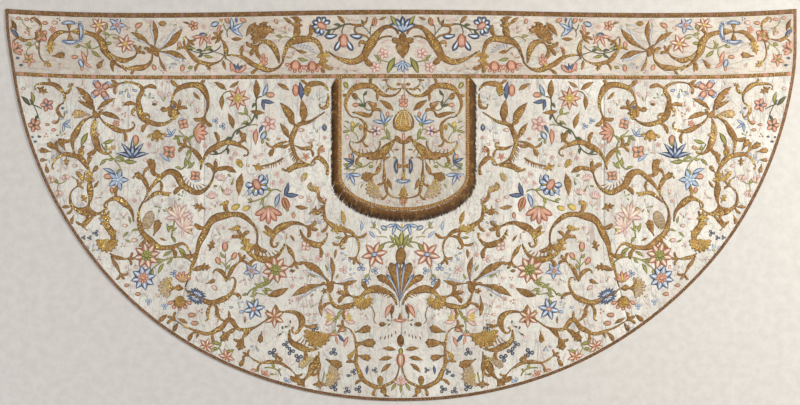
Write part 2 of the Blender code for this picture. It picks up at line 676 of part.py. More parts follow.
def side_outline():
    foot_x = seam_foot_x()
    top = [(x, band_seam_y(x) - GAP / 2) for x in run(LOOM_WIDTH + GAP / 2, corner_x(), HEM_STEP)]
    hem = hem_between(corner_x(), foot_x + GAP / 2)[1:]
    seam = [(side_seam_x(y) + GAP / 2, y) for y in run(hem_y(foot_x), top[0][1], SEAM_STEP)][1:-1]
    return top + hem + seam


def hood_outline():
    edge_top = hood_point(3)[0][1]
    top = [(x, edge_top) for x in run(GAP / 2, HOOD_HALF_WIDTH, HEM_STEP)]
    side = [hood_point(t)[0] for t in run(3, 2, HOOD_SIDE_STEP)][1:]
    end = [hood_point(t)[0] for t in run(2, 1.5, HOOD_END_STEP)][1:-1]
    foot = (GAP / 2, hood_point(1.5)[0][1])
    return top + side + end + [foot] + centre_seam(foot[1], edge_top)


def turned(outline, mirrored):
    """The outline counter-clockwise, on its own side of the centre line."""
    if mirrored:
        return [(-x, y) for x, y in outline]
    return list(reversed(outline))


# ---- Materials -----------------------------------------------------------------------------------


def material(name, color, roughness, metallic=0.0):
    made = bpy.data.materials.new(name)
    made.use_nodes = True
    made.diffuse_color = (*color, 1.0)
    shader = made.node_tree.nodes["Principled BSDF"]
    shader.inputs["Base Color"].default_value = (*color, 1.0)
    shader.inputs["Roughness"].default_value = roughness
    shader.inputs["Metallic"].default_value = metallic
    return made


# ---- The cope ------------------------------------------------------------------------------------


def build():
    for obj in list(bpy.data.objects):
        bpy.data.objects.remove(obj, do_unlink=True)
    cope = bpy.data.collections.new("cope")
    bpy.context.scene.collection.children.link(cope)

    silk = material("ivory_silk", (0.80, 0.76, 0.69), 0.55)
    gold = material("gold_galloon", (0.45, 0.27, 0.10), 0.45, 0.4)
    fringe_gold = material("gold_fringe", (0.26, 0.16, 0.06), 0.55, 0.3)

    half = BAND_GALLOON / 2
    fringe_reach = GAP + FRINGE_BAND + STRAND_LENGTH

    def rise_past(distance, trim):
        """0 under trim of this width, and 1 a little past it."""
        return smooth_step(distance, trim + 2 * FLAT_MARGIN, trim + 2 * FLAT_MARGIN + FADE_WIDTH)

    def body_fade(x, y, inside):
        at_hem = rise_past(min(hem_x(y) - abs(x), y - hem_y(x)), HEM_GALLOON)
        at_band = rise_past(band_seam_y(x) - y, half)
        at_hood = rise_past(hood_clearance(x, y), fringe_reach)
        return at_hem * at_band * at_hood * smooth_step(inside, 0.0, FADE_WIDTH)

    def band_fade(x, y, inside):
        at_edge = rise_past(edge_y(x) - y, EDGE_GALLOON) * rise_past(hem_x(y) - abs(x), HEM_GALLOON)
        at_seam = rise_past(y - band_seam_y(x), half)
        return at_edge * at_seam * smooth_step(inside, 0.0, FADE_WIDTH)

    def hood_fade(x, y, inside):
        at_edge = rise_past(-hood_clearance(x, y), HOOD_GALLOON)
        return at_edge * smooth_step(inside, 0.0, FADE_WIDTH)

    across = run(-HALF_WIDTH, HALF_WIDTH, HEM_STEP)
    hem_border = walk(HEM_STATIONS, lambda a: hem_point(a, HEM_GALLOON + FLAT_MARGIN), 0.0, math.pi)
    above_seam = [(x, band_seam_y(x) + half + FLAT_MARGIN) for x in across]
    below_seam = [(x, band_seam_y(x) - half - FLAT_MARGIN) for x in across]
    below_edge = [(x, edge_y(x) - EDGE_GALLOON - FLAT_MARGIN) for x in across]
    hood_turns = hood_marks(HOOD_END_STEP)
    round_hood = [hood_point(t, fringe_reach + FLAT_MARGIN)[0] for t in hood_turns]
    in_hood = [hood_point(t, -HOOD_GALLOON - FLAT_MARGIN)[0] for t in hood_turns]

    creases = [crease_ridge(c) for c in CREASES]
    hood_base = WALL + GAP
    for side, mirrored in (("right", False), ("left", True)):
        sign = -1 if mirrored else 1
        band = [stem_ridge(s, mirrored) for s in ORPHREY_STEMS]
        hood = [stem_ridge(s, mirrored) for s in HOOD_STEMS]
        body = [stem_ridge(s, mirrored) for s in BODY_STEMS]
        body += [r for r in creases if sign * r.points[0].x > 0]
        body_lines = (hem_border, below_seam, round_hood)
        band_lines = (hem_border, above_seam, below_edge)
        for name, outline, ridges, borders, fade, base in (
            ("orphrey", orphrey_outline(), band, band_lines, band_fade, 0.0),
            ("body_centre", centre_outline(), body, body_lines, body_fade, 0.0),
            ("body_side", side_outline(), body, body_lines, body_fade, 0.0),
            ("hood", hood_outline(), hood, (in_hood,), hood_fade, hood_base),
        ):
            panel(f"{name}_{side}", turned(outline, mirrored), ridges, borders, fade, base, silk, cope)

    trim_base = WALL + GAP
    hem_marks = walk(HEM_STATIONS, lambda a: a, 0.0, math.pi)
    hem_outer = [hem_point(a) for a in hem_marks]
    hem_inner = [hem_point(a, HEM_GALLOON) for a in hem_marks]
    strip("galloon_hem", hem_outer, hem_inner, trim_base, gold, cope)

    top_end = HALF_WIDTH - HEM_GALLOON - 2 * GAP
    top_marks = run(-top_end, top_end, HEM_STEP)
    top_outer = [(x, edge_y(x)) for x in top_marks]
    top_inner = [(x, edge_y(x) - EDGE_GALLOON) for x in top_marks]
    strip("galloon_top_edge", top_outer, top_inner, trim_base, gold, cope)

    def band_line(rise):
        """One side of the galloon over the band's seam, up to the inner side of the hem's galloon."""
        end = hem_x(band_seam_y(corner_x()) + rise) - HEM_GALLOON * END_SLANT - GAP
        return [(x, band_seam_y(x) + rise) for x in run(-end, end, HEM_STEP)]

    strip("galloon_orphrey", band_line(half), band_line(-half), trim_base, gold, cope)

    trim_turns = hood_marks(HOOD_TRIM_STEP)
    hood_outer = [hood_point(t)[0] for t in trim_turns]
    hood_inner = [hood_point(t, -HOOD_GALLOON)[0] for t in trim_turns]
    strip("galloon_hood", hood_outer, hood_inner, hood_base + WALL + GAP, gold, cope)

    fringe("hood_fringe", hood_base, fringe_gold, cope)


build()
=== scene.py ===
"""Embroidered cope laid out flat, outer face up.

Ivory silk panels with soft creases carry raised gold scrollwork, silk flowers and spangles. Gold
galloons run along every edge and a cut fringe hangs round the hood. Metres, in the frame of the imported
part: +X along the straight edge, +Y from the hem towards it, +Z out of the cloth.
"""

import math
import random
from collections import namedtuple

import bpy
import numpy as np
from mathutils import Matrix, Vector
from mathutils.geometry import delaunay_2d_cdt


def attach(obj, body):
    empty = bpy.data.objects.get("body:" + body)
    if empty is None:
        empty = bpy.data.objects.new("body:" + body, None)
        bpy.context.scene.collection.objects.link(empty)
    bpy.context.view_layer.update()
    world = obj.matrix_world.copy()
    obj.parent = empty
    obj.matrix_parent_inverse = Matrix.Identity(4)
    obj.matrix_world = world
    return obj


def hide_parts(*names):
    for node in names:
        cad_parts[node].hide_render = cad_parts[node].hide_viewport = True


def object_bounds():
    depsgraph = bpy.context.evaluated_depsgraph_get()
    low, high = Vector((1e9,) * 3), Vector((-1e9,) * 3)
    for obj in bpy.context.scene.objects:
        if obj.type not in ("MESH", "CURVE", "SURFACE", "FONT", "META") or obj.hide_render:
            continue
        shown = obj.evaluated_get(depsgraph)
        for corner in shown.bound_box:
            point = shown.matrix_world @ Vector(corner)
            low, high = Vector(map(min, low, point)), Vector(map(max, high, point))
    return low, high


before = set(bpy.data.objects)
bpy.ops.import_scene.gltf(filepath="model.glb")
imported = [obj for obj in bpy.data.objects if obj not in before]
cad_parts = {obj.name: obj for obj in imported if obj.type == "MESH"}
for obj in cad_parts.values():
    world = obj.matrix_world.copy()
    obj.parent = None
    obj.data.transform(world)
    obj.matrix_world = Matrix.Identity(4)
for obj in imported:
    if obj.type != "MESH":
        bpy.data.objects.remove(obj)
cad_low, cad_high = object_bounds()

# ---- Dimensions of the garment -------------------------------------------------------------------

HALF_WIDTH = (cad_high.x - cad_low.x) / 2
DEPTH = cad_high.y - cad_low.y
HEM_POWER = 2.08  # the hem is a superellipse of this power
EDGE_SAG = 0.021  # the straight edge sags between its corners
NECK_RISE = 0.018  # and rises again at the neck
NECK_SPREAD = 0.50  # share of the half width that the rise takes
ORPHREY_WIDTH = 0.235  # straight edge's corners to the band's lower seam, at its ends
ORPHREY_SAG = 0.019  # how much more that is further in
ORPHREY_RISE = 0.008  # and how much of it is lost again in the middle
LOOM_WIDTH = 0.733  # centre seam to side seam
SEAM_BEND_DEPTH = 0.80  # below this the side seam slants outwards
SEAM_SLANT = 0.28
LEAN = 0.010  # the cope lies askew: its middle is this far to the right of its straight edge
LEAN_DEPTHS = (0.02, 0.25, 0.79, 1.20)  # where the lean starts, is full, fades and ends

# Depths, and how many cm to the right of the straight edge's middle the design's axis lies there.
DESIGN_AXIS = (
    (0, 0.6),
    (0.22, 0.65),
    (0.28, 0.9),
    (0.7, 0.9),
    (0.8, 0.35),
    (0.92, -0.15),
    (1.08, -0.45),
    (1.25, -0.1),
)
AXIS_REACH = (0.18, 0.36)  # distances from the axis between which its own lean fades out

WALL = 0.0016  # silk and its backing
GAP = 0.0003  # between pieces that touch
EDGE_GALLOON = 0.017  # width of the galloon along the straight edge
BAND_GALLOON = 0.014  # over the band's seam
HEM_GALLOON = 0.011
HOOD_GALLOON = 0.012
HOOD_HALF_WIDTH = 0.240
HOOD_STRAIGHT_END = 0.608  # depth at which the hood's sides end and its round end starts
HOOD_ROUND = 0.131  # depth of the round end
HOOD_PILLOW = 0.0016  # rise of the hood's middle over its edges
HOOD_PILLOW_REACH = 0.16  # distance from the edge at which the rise is full
FRINGE_BESIDE = 0.028  # how far the fringe covers the body silk at the hood's sides
FRINGE_BELOW = 0.044  # and under its lower edge
FRINGE_TURN = (0.02, 0.09)  # how far above the round end it begins to cover more, and over what depth
FRINGE_HEIGHT = 0.0016

CM = 0.01
MM = 0.001
SIDES = ((1, "right"), (-1, "left"))
MESH_STEP = 0.0085  # spacing of the cloth's vertices
ROW_SHARE = 0.87  # of their rows, as a share of that
RIM_CLEARANCE = 0.5  # share of it that stays free inside an outline
OUTLINE_STEP = 0.010
HEM_SAMPLES = 400
TRIM_FADE = 0.008  # creases and stitches reach their full height this far from trim
SILK_RISE = {"orphrey": 0.0006, "body": 0.0005}  # of the bare silk over the silk under trim
RIPPLE = {"hood": 0.0004, "orphrey": 0.0006, "body": 0.0005}  # height of the silk's unevenness
SEAM_DIP = 0.0006
SEAM_SPREAD = 0.0045
HEM_KEEP = 0.9915  # stitches stay inside this share of the hem's radius

# ---- Creases -------------------------------------------------------------------------------------
# Soft upright folds of the body silk. x, top and bottom in cm, height and half width in mm.

Crease = namedtuple("Crease", "x top bottom height half_width")

CREASES = (
    Crease(-131, 36, 62, 1.1, 13),
    Crease(-124.5, 30, 78, 1.5, 15),
    Crease(-117, 41, 88, 1.0, 12),
    Crease(-109.5, 29, 70, 1.6, 16),
    Crease(-103, 48, 99, 1.3, 14),
    Crease(-95.5, 31, 83, 1.1, 12),
    Crease(-89, 39, 110, 1.7, 17),
    Crease(-81, 28, 66, 1.2, 13),
    Crease(-77.5, 60, 117, 1.4, 15),
    Crease(-68, 33, 92, 1.2, 13),
    Crease(-61.5, 28, 74, 1.6, 16),
    Crease(-56, 66, 124, 1.3, 14),
    Crease(-49, 35, 88, 1.1, 12),
    Crease(-42.5, 29, 61, 1.5, 15),
    Crease(-37, 58, 131, 1.2, 14),
    Crease(-31, 34, 80, 1.0, 12),
    Crease(-22.5, 82, 133, 1.5, 15),
    Crease(-14, 80, 126, 1.1, 13),
    Crease(-6.5, 84, 138, 1.3, 13),
    Crease(5.5, 81, 119, 1.2, 13),
    Crease(12, 88, 137, 1.4, 15),
    Crease(20.5, 83, 128, 1.0, 12),
    Crease(29, 36, 69, 1.3, 13),
    Crease(33.5, 74, 133, 1.5, 16),
    Crease(40, 28, 84, 1.1, 12),
    Crease(47.5, 52, 127, 1.4, 15),
    Crease(52, 29, 68, 1.5, 14),
    Crease(58.5, 60, 121, 1.1, 13),
    Crease(65, 31, 96, 1.7, 17),
    Crease(71, 28, 59, 1.0, 11),
    Crease(78, 44, 115, 1.3, 15),
    Crease(84.5, 29, 77, 1.5, 14),
    Crease(91, 56, 108, 1.2, 13),
    Crease(98.5, 30, 72, 1.6, 16),
    Crease(105, 46, 97, 1.1, 13),
    Crease(112, 28, 63, 1.3, 13),
    Crease(118.5, 40, 85, 1.5, 16),
    Crease(126, 29, 73, 1.0, 12),
    Crease(132.5, 38, 61, 1.3, 13),
)
CREASE_SWAY = 0.006  # how far a crease sways to either side
CREASE_WAVE = 0.46  # and over what length it does so

# ---- Gold scrollwork -----------------------------------------------------------------------------
# One half of a mirrored design. knots are in cm: x from the centre line, y down from the straight
# edge's corners. width is the scroll's width in cm, curl the turn of its volute in degrees, clockwise
# as seen.

Stem = namedtuple("Stem", "width curl knots")

ORPHREY_STEMS = (
    Stem(3.2, 0, ((2.2, 9.3), (4, 6.8), (7.5, 6.9), (10.5, 9.5), (12.6, 13.5), (15, 17.3),
                  (19.5, 19.3), (24, 18.3), (27.8, 15.6))),
    Stem(1.5, 150, ((13.5, 12.7), (15.6, 12.2))),
    Stem(2.6, 0, ((45, 20), (44.2, 16.5), (42, 13), (37, 10.9), (32.5, 11.6), (30.3, 15), (30.3, 19))),
    Stem(2.0, 0, ((44.8, 18.6), (47, 21.6), (51, 22.3), (55, 20.8), (59, 18.2), (63, 16.9),
                  (66, 17.4))),
    Stem(1.9, 0, ((66, 18.4), (65.4, 15), (65.7, 12.4), (67, 10.9))),
    Stem(1.6, 0, ((66.5, 17.4), (69, 19.6), (74, 20), (78, 17.4), (80.2, 13.4), (80, 10.2),
                  (78.6, 11.6))),
    Stem(2.6, 0, ((40.2, 11.4), (38.9, 9), (38.4, 6), (39, 3.9))),
    Stem(2.6, 0, ((46.3, 20), (47, 16.5), (48.3, 13), (51, 11.9), (53.4, 13.6))),
    Stem(2.0, 0, ((92.6, 16.5), (93.6, 19.8), (97, 21.4), (101.5, 21.8), (105.5, 20.8))),
    Stem(2.6, 0, ((103.5, 21.6), (107, 19.5), (109.5, 15.5), (110.5, 12.5), (113, 9.6), (117, 8.4),
                  (121.6, 8.3))),
    Stem(1.8, 0, ((98.3, 16), (99.5, 17.8), (103, 18.8), (106, 18), (108.5, 15))),
    Stem(2.2, 60, ((122.2, 8.5), (126, 8.9), (129, 11.2), (130, 14))),
    Stem(1.4, 190, ((132.7, 8), (132.4, 5.5), (134.5, 3.4))),
    Stem(1.2, 0, ((134.8, 10.8), (138.5, 11.4), (141.5, 10.2), (143.2, 7.6))),
)

HOOD_STEMS = (
    Stem(2.2, 0, ((1.8, 29.3), (4, 31.6), (7, 31.8), (10, 30.4), (12.5, 28.4), (16.5, 28.1),
                  (20.5, 30.5), (22.2, 34.5), (21, 38.3), (18.8, 39.9))),
    Stem(1.4, 0, ((19, 39.6), (16.5, 40.5), (14.8, 43), (15.3, 47), (17.5, 49), (20, 48.5))),
    Stem(1.9, 0, ((12.2, 37.3), (13.6, 39.3), (16.5, 38.3), (19.7, 38))),
    Stem(3.4, 0, ((4, 47.8), (6, 50.2), (9.5, 53.6), (14.5, 54.7))),
    Stem(1.7, 0, ((6.5, 49.6), (10.5, 52.6), (14.5, 53.7), (18.5, 52.6), (20.5, 50.3), (20.2, 48.3))),
    Stem(1.4, 0, ((8, 55.3), (8, 60), (7.6, 64), (6.3, 68), (2.2, 69.3))),
    Stem(1.8, 0, ((9.3, 56.3), (9.7, 58.4), (10.9, 60.2), (12.4, 61))),
    Stem(0.9, 0, ((1.5, 29), (5, 29.3), (6.9, 27.6), (6.6, 26.4))),
)

BODY_STEMS = (
    # beside the hood
    Stem(2.0, 110, ((28.5, 30), (31, 27.5), (35, 27.5), (37.3, 30))),
    Stem(1.7, -130, ((28.8, 31), (28.6, 34.5), (30.5, 36.3))),
    Stem(1.9, 100, ((30, 37.8), (35, 41), (40, 43), (42, 48), (40.5, 54), (35, 57.3))),
    Stem(1.5, 150, ((41, 50), (37, 51.3), (34.8, 50.3))),
    Stem(1.4, 60, ((42.5, 48.7), (47, 49.7), (50, 53))),
    Stem(1.8, 0, ((28.5, 61), (29.5, 56.8), (32.3, 54.6), (35.5, 57.4))),
    Stem(2.4, -70, ((36, 57.5), (40, 57.6), (43.5, 59))),
    Stem(2.2, -150, ((29, 57.5), (29.2, 62), (31.5, 65.8), (35, 66.3))),
    # branch under the hood's corner
    Stem(1.7, 0, ((28, 68.5), (30, 72), (29.3, 77), (24.5, 80.5), (18.5, 82), (15.5, 86.5),
                  (16.3, 91))),
    Stem(1.6, 110, ((30, 71.5), (32, 74.5), (34, 74.5))),
    Stem(1.5, 160, ((17.5, 83.5), (21, 84), (22.5, 87))),
    # acanthus scrolls of the middle field
    Stem(2.4, 210, ((36.5, 79.8), (42, 78.5), (47, 80.8), (49.5, 85.5))),
    Stem(2.2, 60, ((39, 80.8), (36, 85.3), (32, 86.5), (28.5, 83.8))),
    Stem(2.3, 0, ((44.5, 86), (47, 90.5), (52, 92), (57, 89.5), (60, 84.5))),
    Stem(1.8, 0, ((44, 86.5), (42, 89), (40.5, 92.5))),
    # great scroll and trunk of the side field
    Stem(2.2, -160, ((75.5, 59), (72.8, 52.7), (66, 49), (58.5, 51.5))),
    Stem(2.0, 0, ((75, 58), (76.8, 53), (80.5, 50.5))),
    Stem(2.5, 0, ((70.5, 60), (72.5, 65), (77, 67.3), (81.5, 65), (84, 61), (88, 60), (93, 64.8),
                  (96.5, 71))),
    Stem(2.3, 0, ((96, 70), (98.3, 76), (96.5, 82), (91.5, 86.8), (86, 87.5), (81.5, 86), (78.3, 91))),
    Stem(1.8, 90, ((95, 69), (95.5, 63.5), (98.8, 61))),
    Stem(1.6, -70, ((96, 71), (92, 67.8), (88, 67.5))),
    Stem(2.6, 0, ((54.7, 86), (55.5, 80), (60, 76), (66.5, 75.5), (72, 78.5), (75.3, 85), (77.5, 93),
                  (80, 102))),
    Stem(2.0, 160, ((80, 102.5), (75, 106), (68.5, 107.5), (63, 104.3), (61.7, 99.5))),
    Stem(1.8, 0, ((65, 100), (63.5, 96), (60.5, 92.5))),
    Stem(1.8, 80, ((65, 100), (66.8, 96.5), (69, 95.5))),
    Stem(1.4, -120, ((69, 108), (71, 110.5), (70.8, 113))),
    Stem(2.2, 0, ((80.5, 102.5), (82.4, 102.3), (84.2, 102.4))),
    # straight-edge side of the side field
    Stem(2.4, 0, ((74, 39.5), (72.8, 33), (75.3, 28.8), (80, 27.8), (84.5, 30.3), (86.3, 35.5))),
    Stem(2.2, 0, ((84, 37), (86.5, 41), (92, 42.3), (97, 39.3), (98.3, 34), (96.8, 29.5), (100.5, 27),
                  (105.5, 27.5))),
    Stem(1.4, -150, ((98, 38), (94.8, 38.8))),
    Stem(1.4, 150, ((98.5, 35.5), (100.5, 37.8))),
    Stem(1.8, 100, ((112.5, 39.5), (108.5, 43.2), (103, 44.8), (99.8, 43.2))),
    Stem(2.3, 0, ((115.5, 39.5), (119.5, 42.5), (122.2, 48), (121.5, 53.5))),
    Stem(2.5, 80, ((114.2, 40.5), (114.7, 45), (113.5, 50), (110.5, 53))),
    # towards the corner
    Stem(1.7, 110, ((126, 35), (125.8, 30.5), (130, 27.6), (135.5, 27.8))),
    Stem(1.4, 170, ((126, 34.5), (128, 37), (126.5, 39.5))),
    Stem(1.4, 150, ((125.8, 31.5), (123.3, 29.8))),
    # hem side of the side field
    Stem(2.0, 60, ((115.5, 64), (117, 57.7), (121.5, 53.8), (126.5, 53.6), (129.8, 57.2))),
    Stem(2.6, 0, ((116.5, 62), (115.8, 67), (116.5, 72))),
    Stem(1.5, 90, ((120.5, 65), (123.2, 68), (122.5, 72), (118.5, 74.8), (113, 75), (109.5, 72))),
    Stem(1.4, 90, ((113, 75), (116.3, 77.3), (117.8, 80))),
    Stem(2.2, 120, ((100, 78), (101.7, 72.7), (106, 69.7), (110.3, 71))),
    Stem(2.8, 0, ((109, 74), (109.7, 79), (107.5, 83.5), (109, 88))),
    Stem(1.6, 0, ((108.5, 89.5), (105, 91.3), (101.5, 91.5))),
    Stem(1.6, 0, ((108, 90.5), (105.8, 94), (104, 97))),
    # lower middle
    Stem(2.6, 0, ((0.6, 108.5), (3, 104.6), (7.5, 102.6), (11.5, 103.6), (14.5, 105.6), (18.3, 104.8))),
    Stem(1.9, 0, ((12, 104), (15.5, 107.5), (20.5, 109.4), (24.6, 107.8), (26.5, 102))),
    Stem(2.2, -190, ((44, 111.3), (39.3, 111.2), (36.4, 114.5), (37.8, 118.3))),
    Stem(2.5, 0, ((40.8, 117.5), (40, 122), (35.5, 124.6), (30, 124.5))),
    Stem(1.6, 0, ((30, 125.5), (30.2, 131), (30, 136.5))),
    Stem(3.0, 0, ((30.8, 127), (32.5, 132), (35.5, 135.8))),
    Stem(1.7, 0, ((0.6, 130.5), (0.9, 133.5), (3, 136.8), (7, 138.4), (11, 137.9), (14.4, 134.6),
                  (16.2, 129.5), (16.2, 123), (17.5, 118.2), (20.3, 116.8))),
    Stem(2.4, 0, ((7.2, 138.4), (6, 140), (5.6, 141.6))),
    Stem(1.8, 0, ((49, 113.5), (54, 116.8), (59, 117.5), (63, 114), (66.5, 117.2), (71, 119),
                  (77, 117.3), (83, 114))),
    Stem(1.8, 0, ((54.5, 117.4), (57, 119.3), (58.4, 121.4))),
    Stem(1.4, 0, ((60.8, 117.4), (62.2, 118.4), (63.6, 119.2))),
    Stem(1.4, 0, ((38.5, 134.3), (42, 131), (46.5, 129.3), (51.5, 129.6), (56, 127))),
)

# ---- Silk stems and rows of feathery fingers, in the same measure --------------------------------

# A thin stem, which bears leaves where it is green or dark. width in cm.
Spray = namedtuple("Spray", "width colour knots")

ORPHREY_SPRAYS = (
    Spray(0.6, "green", ((5.5, 19.6), (8, 19), (10.2, 18.8))),
    Spray(0.5, "green", ((8.6, 17.5), (8.7, 19), (9.2, 20.4))),
    Spray(1.0, "gold", ((4.5, 10.2), (8, 10.4), (11, 12.6))),
    Spray(1.2, "gold", ((13.6, 3), (14.6, 5.4), (17, 5.9), (20, 5.5))),
    Spray(1.1, "gold", ((15.5, 6.2), (18, 6.8), (17.6, 8.9), (14, 10), (12.6, 12))),
    Spray(0.5, "dark", ((12.4, 9.8), (12.5, 7.5), (11.9, 5.6))),
    Spray(0.5, "dark", ((12.6, 9.2), (14.4, 7), (16, 6.1))),
    Spray(0.9, "dark", ((19.5, 5.6), (22, 5.8), (25, 7.3), (28.4, 7.7))),
    Spray(0.6, "dark", ((21.8, 6), (22.7, 8), (22.4, 10.2))),
    Spray(0.5, "dark", ((24, 7), (25.4, 8), (26.2, 9.3))),
    Spray(0.6, "gold", ((39.2, 15.2), (41, 14), (42.6, 14.2))),
    Spray(0.5, "green", ((40.8, 10.8), (43.5, 10.2), (45.8, 12))),
    Spray(0.5, "dark", ((64, 10.4), (64, 8), (62, 6))),
    Spray(0.5, "dark", ((64, 8.4), (64.8, 6.8), (65.2, 5.6))),
    Spray(0.6, "dark", ((67, 13.4), (69.5, 15.4), (74, 16.3), (79.4, 14.6))),
    Spray(0.5, "dark", ((72.2, 12.4), (72.6, 14.4), (75, 16))),
    Spray(0.5, "dark", ((63.7, 19.6), (65.8, 18), (66.6, 16.8), (69.8, 15.8))),
    Spray(0.5, "green", ((109.2, 11.6), (108.8, 9), (109.4, 6.8))),
    Spray(0.5, "green", ((103.8, 10.2), (106.5, 9.4), (108.8, 11), (109.8, 12))),
    Spray(0.6, "green", ((111.2, 13.2), (114, 14.6), (117, 14), (119.5, 12.8))),
    Spray(0.6, "green", ((116.3, 14.6), (116.2, 16.5), (117, 18))),
    Spray(0.5, "green", ((139, 3.5), (138, 6), (135.5, 7.2))),
    Spray(0.8, "gold", ((133, 11.5), (133.9, 15), (133.6, 18), (131.8, 19.6))),
    Spray(0.5, "green", ((133.4, 11), (135, 12.5), (138, 14.8), (138.6, 17))),
)

HOOD_SPRAYS = (
    Spray(0.5, "dark", ((12.2, 36.6), (13.6, 37.2), (15.3, 36), (16.3, 34), (17.8, 32.4))),
    Spray(0.5, "dark", ((12.8, 34), (14.4, 34.2), (15.4, 35.8), (17.2, 35.2))),
    Spray(0.5, "dark", ((15.3, 35.4), (15.4, 33), (15.6, 31.2))),
    Spray(0.5, "green", ((6.8, 46.4), (7.8, 44.2), (8, 42))),
    Spray(0.5, "green", ((7.8, 44.4), (8.8, 44), (9.6, 43.8))),
    Spray(0.6, "green", ((2.6, 48.3), (5, 48.2), (7, 47.4))),
    Spray(0.5, "green", ((17.4, 48), (18.6, 45.6), (20.4, 44.6), (22.8, 42.8))),
    Spray(0.7, "green", ((12.8, 56), (15.4, 57.8), (18, 58), (19.6, 57), (20.2, 56))),
    Spray(0.6, "green", ((17.4, 58), (19.2, 58.9), (22.6, 58.6))),
    Spray(0.5, "green", ((17.6, 58.2), (19.4, 59.8), (20, 61))),
    Spray(1.1, "gold", ((0.9, 48), (0.95, 54), (0.9, 60))),
    Spray(0.9, "gold", ((9.6, 48.3), (9.6, 50.4), (11.4, 52.6))),
)

BODY_SPRAYS = (
    Spray(0.8, "dark", ((53, 32.2), (55, 33.2), (55.1, 37), (56.6, 41), (59, 43), (62.4, 44.6),
                        (64.4, 48), (66, 51.2), (68.5, 53), (72, 53.2))),
    Spray(0.6, "green", ((57, 42), (57.4, 39.6), (59, 38.6), (61, 38))),
    Spray(0.6, "green", ((54.4, 42.7), (56, 42.4), (58, 42.8))),
    Spray(0.9, "gold", ((38.6, 42), (38.2, 40.6), (38, 39))),
    Spray(0.9, "gold", ((41, 43.4), (41.4, 41), (42.4, 39.6))),
    Spray(1.0, "gold", ((45.2, 54.6), (48.4, 56.4), (52.8, 57.6))),
    Spray(0.6, "gold", ((64.6, 30.2), (66.4, 30.6), (67.6, 32))),
    Spray(0.8, "green", ((46, 67), (49, 66.3), (52, 69), (58, 71))),
    Spray(0.6, "green", ((52, 69), (52.5, 72), (51, 73.5))),
    Spray(0.8, "green", ((77.5, 45.5), (80, 48), (81, 47), (85, 46.5))),
    Spray(0.8, "green", ((80, 48), (79, 53), (81.5, 58), (83.5, 58.5))),
    Spray(0.6, "green", ((83.5, 44.5), (82, 46), (80.5, 48))),
    Spray(0.8, "green", ((100.6, 53.4), (102.4, 55.4), (106, 55.6), (109.5, 53), (111.8, 49.4))),
    Spray(0.6, "green", ((107, 55.6), (105, 58), (105.2, 60.4))),
    Spray(0.6, "dark", ((133.6, 36.6), (136.4, 35.3), (139, 34.6))),
    Spray(0.5, "dark", ((136.6, 35.4), (135.4, 38), (134.6, 40.6))),
    Spray(0.5, "green", ((65.4, 99), (65.6, 94), (66.1, 89.6))),
    Spray(0.5, "green", ((65.6, 94), (64.6, 92.4), (63.6, 91.6))),
    Spray(0.5, "green", ((65.6, 94.6), (66.8, 93), (67.8, 92.6))),
    Spray(0.9, "green", ((84.5, 76), (85.5, 80), (86, 84))),
    Spray(0.8, "green", ((78, 93), (82, 91), (88, 92), (94, 97))),
    Spray(0.7, "green", ((88, 92), (91, 91.5), (94, 91))),
    Spray(0.8, "green", ((0.6, 88.4), (2, 86.2), (4.4, 85.4), (6.8, 86.4))),
    Spray(0.9, "yellow", ((0.4, 77), (0.3, 82), (0, 87))),
    Spray(0.5, "green", ((7.8, 82.6), (9.2, 80.8), (10.8, 80.2))),
    Spray(0.5, "green", ((5.6, 83.8), (7, 83.4), (9, 83.6))),
    Spray(0.5, "green", ((10.4, 93.6), (10.9, 95.4), (11.2, 97.4), (10.4, 99.4))),
    Spray(0.9, "green", ((48, 98), (50, 101), (55, 102.5), (57, 105))),
    Spray(0.6, "green", ((46, 104), (50, 104.6), (54, 104))),
    Spray(0.6, "green", ((55, 103), (54.5, 105.5), (53.8, 107.5))),
    Spray(0.7, "green", ((20.9, 109.6), (21.6, 111.6), (22.9, 113.6), (25, 113.9))),
    Spray(0.5, "green", ((19.2, 113.2), (20.6, 112.6), (21.4, 111.2))),
    Spray(0.5, "green", ((23.1, 114), (23.8, 116.8), (22.8, 119))),
    Spray(0.7, "green", ((66, 121), (67, 124.5), (71, 125.5))),
    Spray(0.6, "green", ((66.5, 124.5), (65.5, 126.5), (65, 128))),
    Spray(0.8, "green", ((44, 134.5), (46, 132), (50, 131.5))),
    Spray(0.7, "green", ((28, 133), (28.6, 136), (29, 138.5))),
    Spray(0.5, "gold", ((10, 109), (8.9, 112), (9.3, 114), (8.4, 115.3))),
    Spray(0.5, "green", ((124.5, 62.5), (127.5, 64), (130.5, 62))),
    Spray(0.5, "green", ((127.5, 64), (128, 66), (127.5, 68))),
    Spray(0.5, "grey", ((6, 92), (9, 91), (12, 92.5), (14, 94.5))),
)

# Fingers along a curve. length in cm, lean in degrees from the way that the curve runs.
Comb = namedtuple("Comb", "count length lean colour knots")

ORPHREY_COMBS = (
    Comb(7, 2.3, 70, "blue", ((32.8, 16.3), (33.8, 14), (36, 12.9), (39.2, 12.7))),
)

HOOD_COMBS = (
    Comb(4, 2.6, -60, "gold", ((11, 52.6), (14.2, 53.5), (18, 52.6))),
    Comb(6, 2.4, 60, "spangled", ((5, 50.5), (8, 54), (13, 55.4))),
)

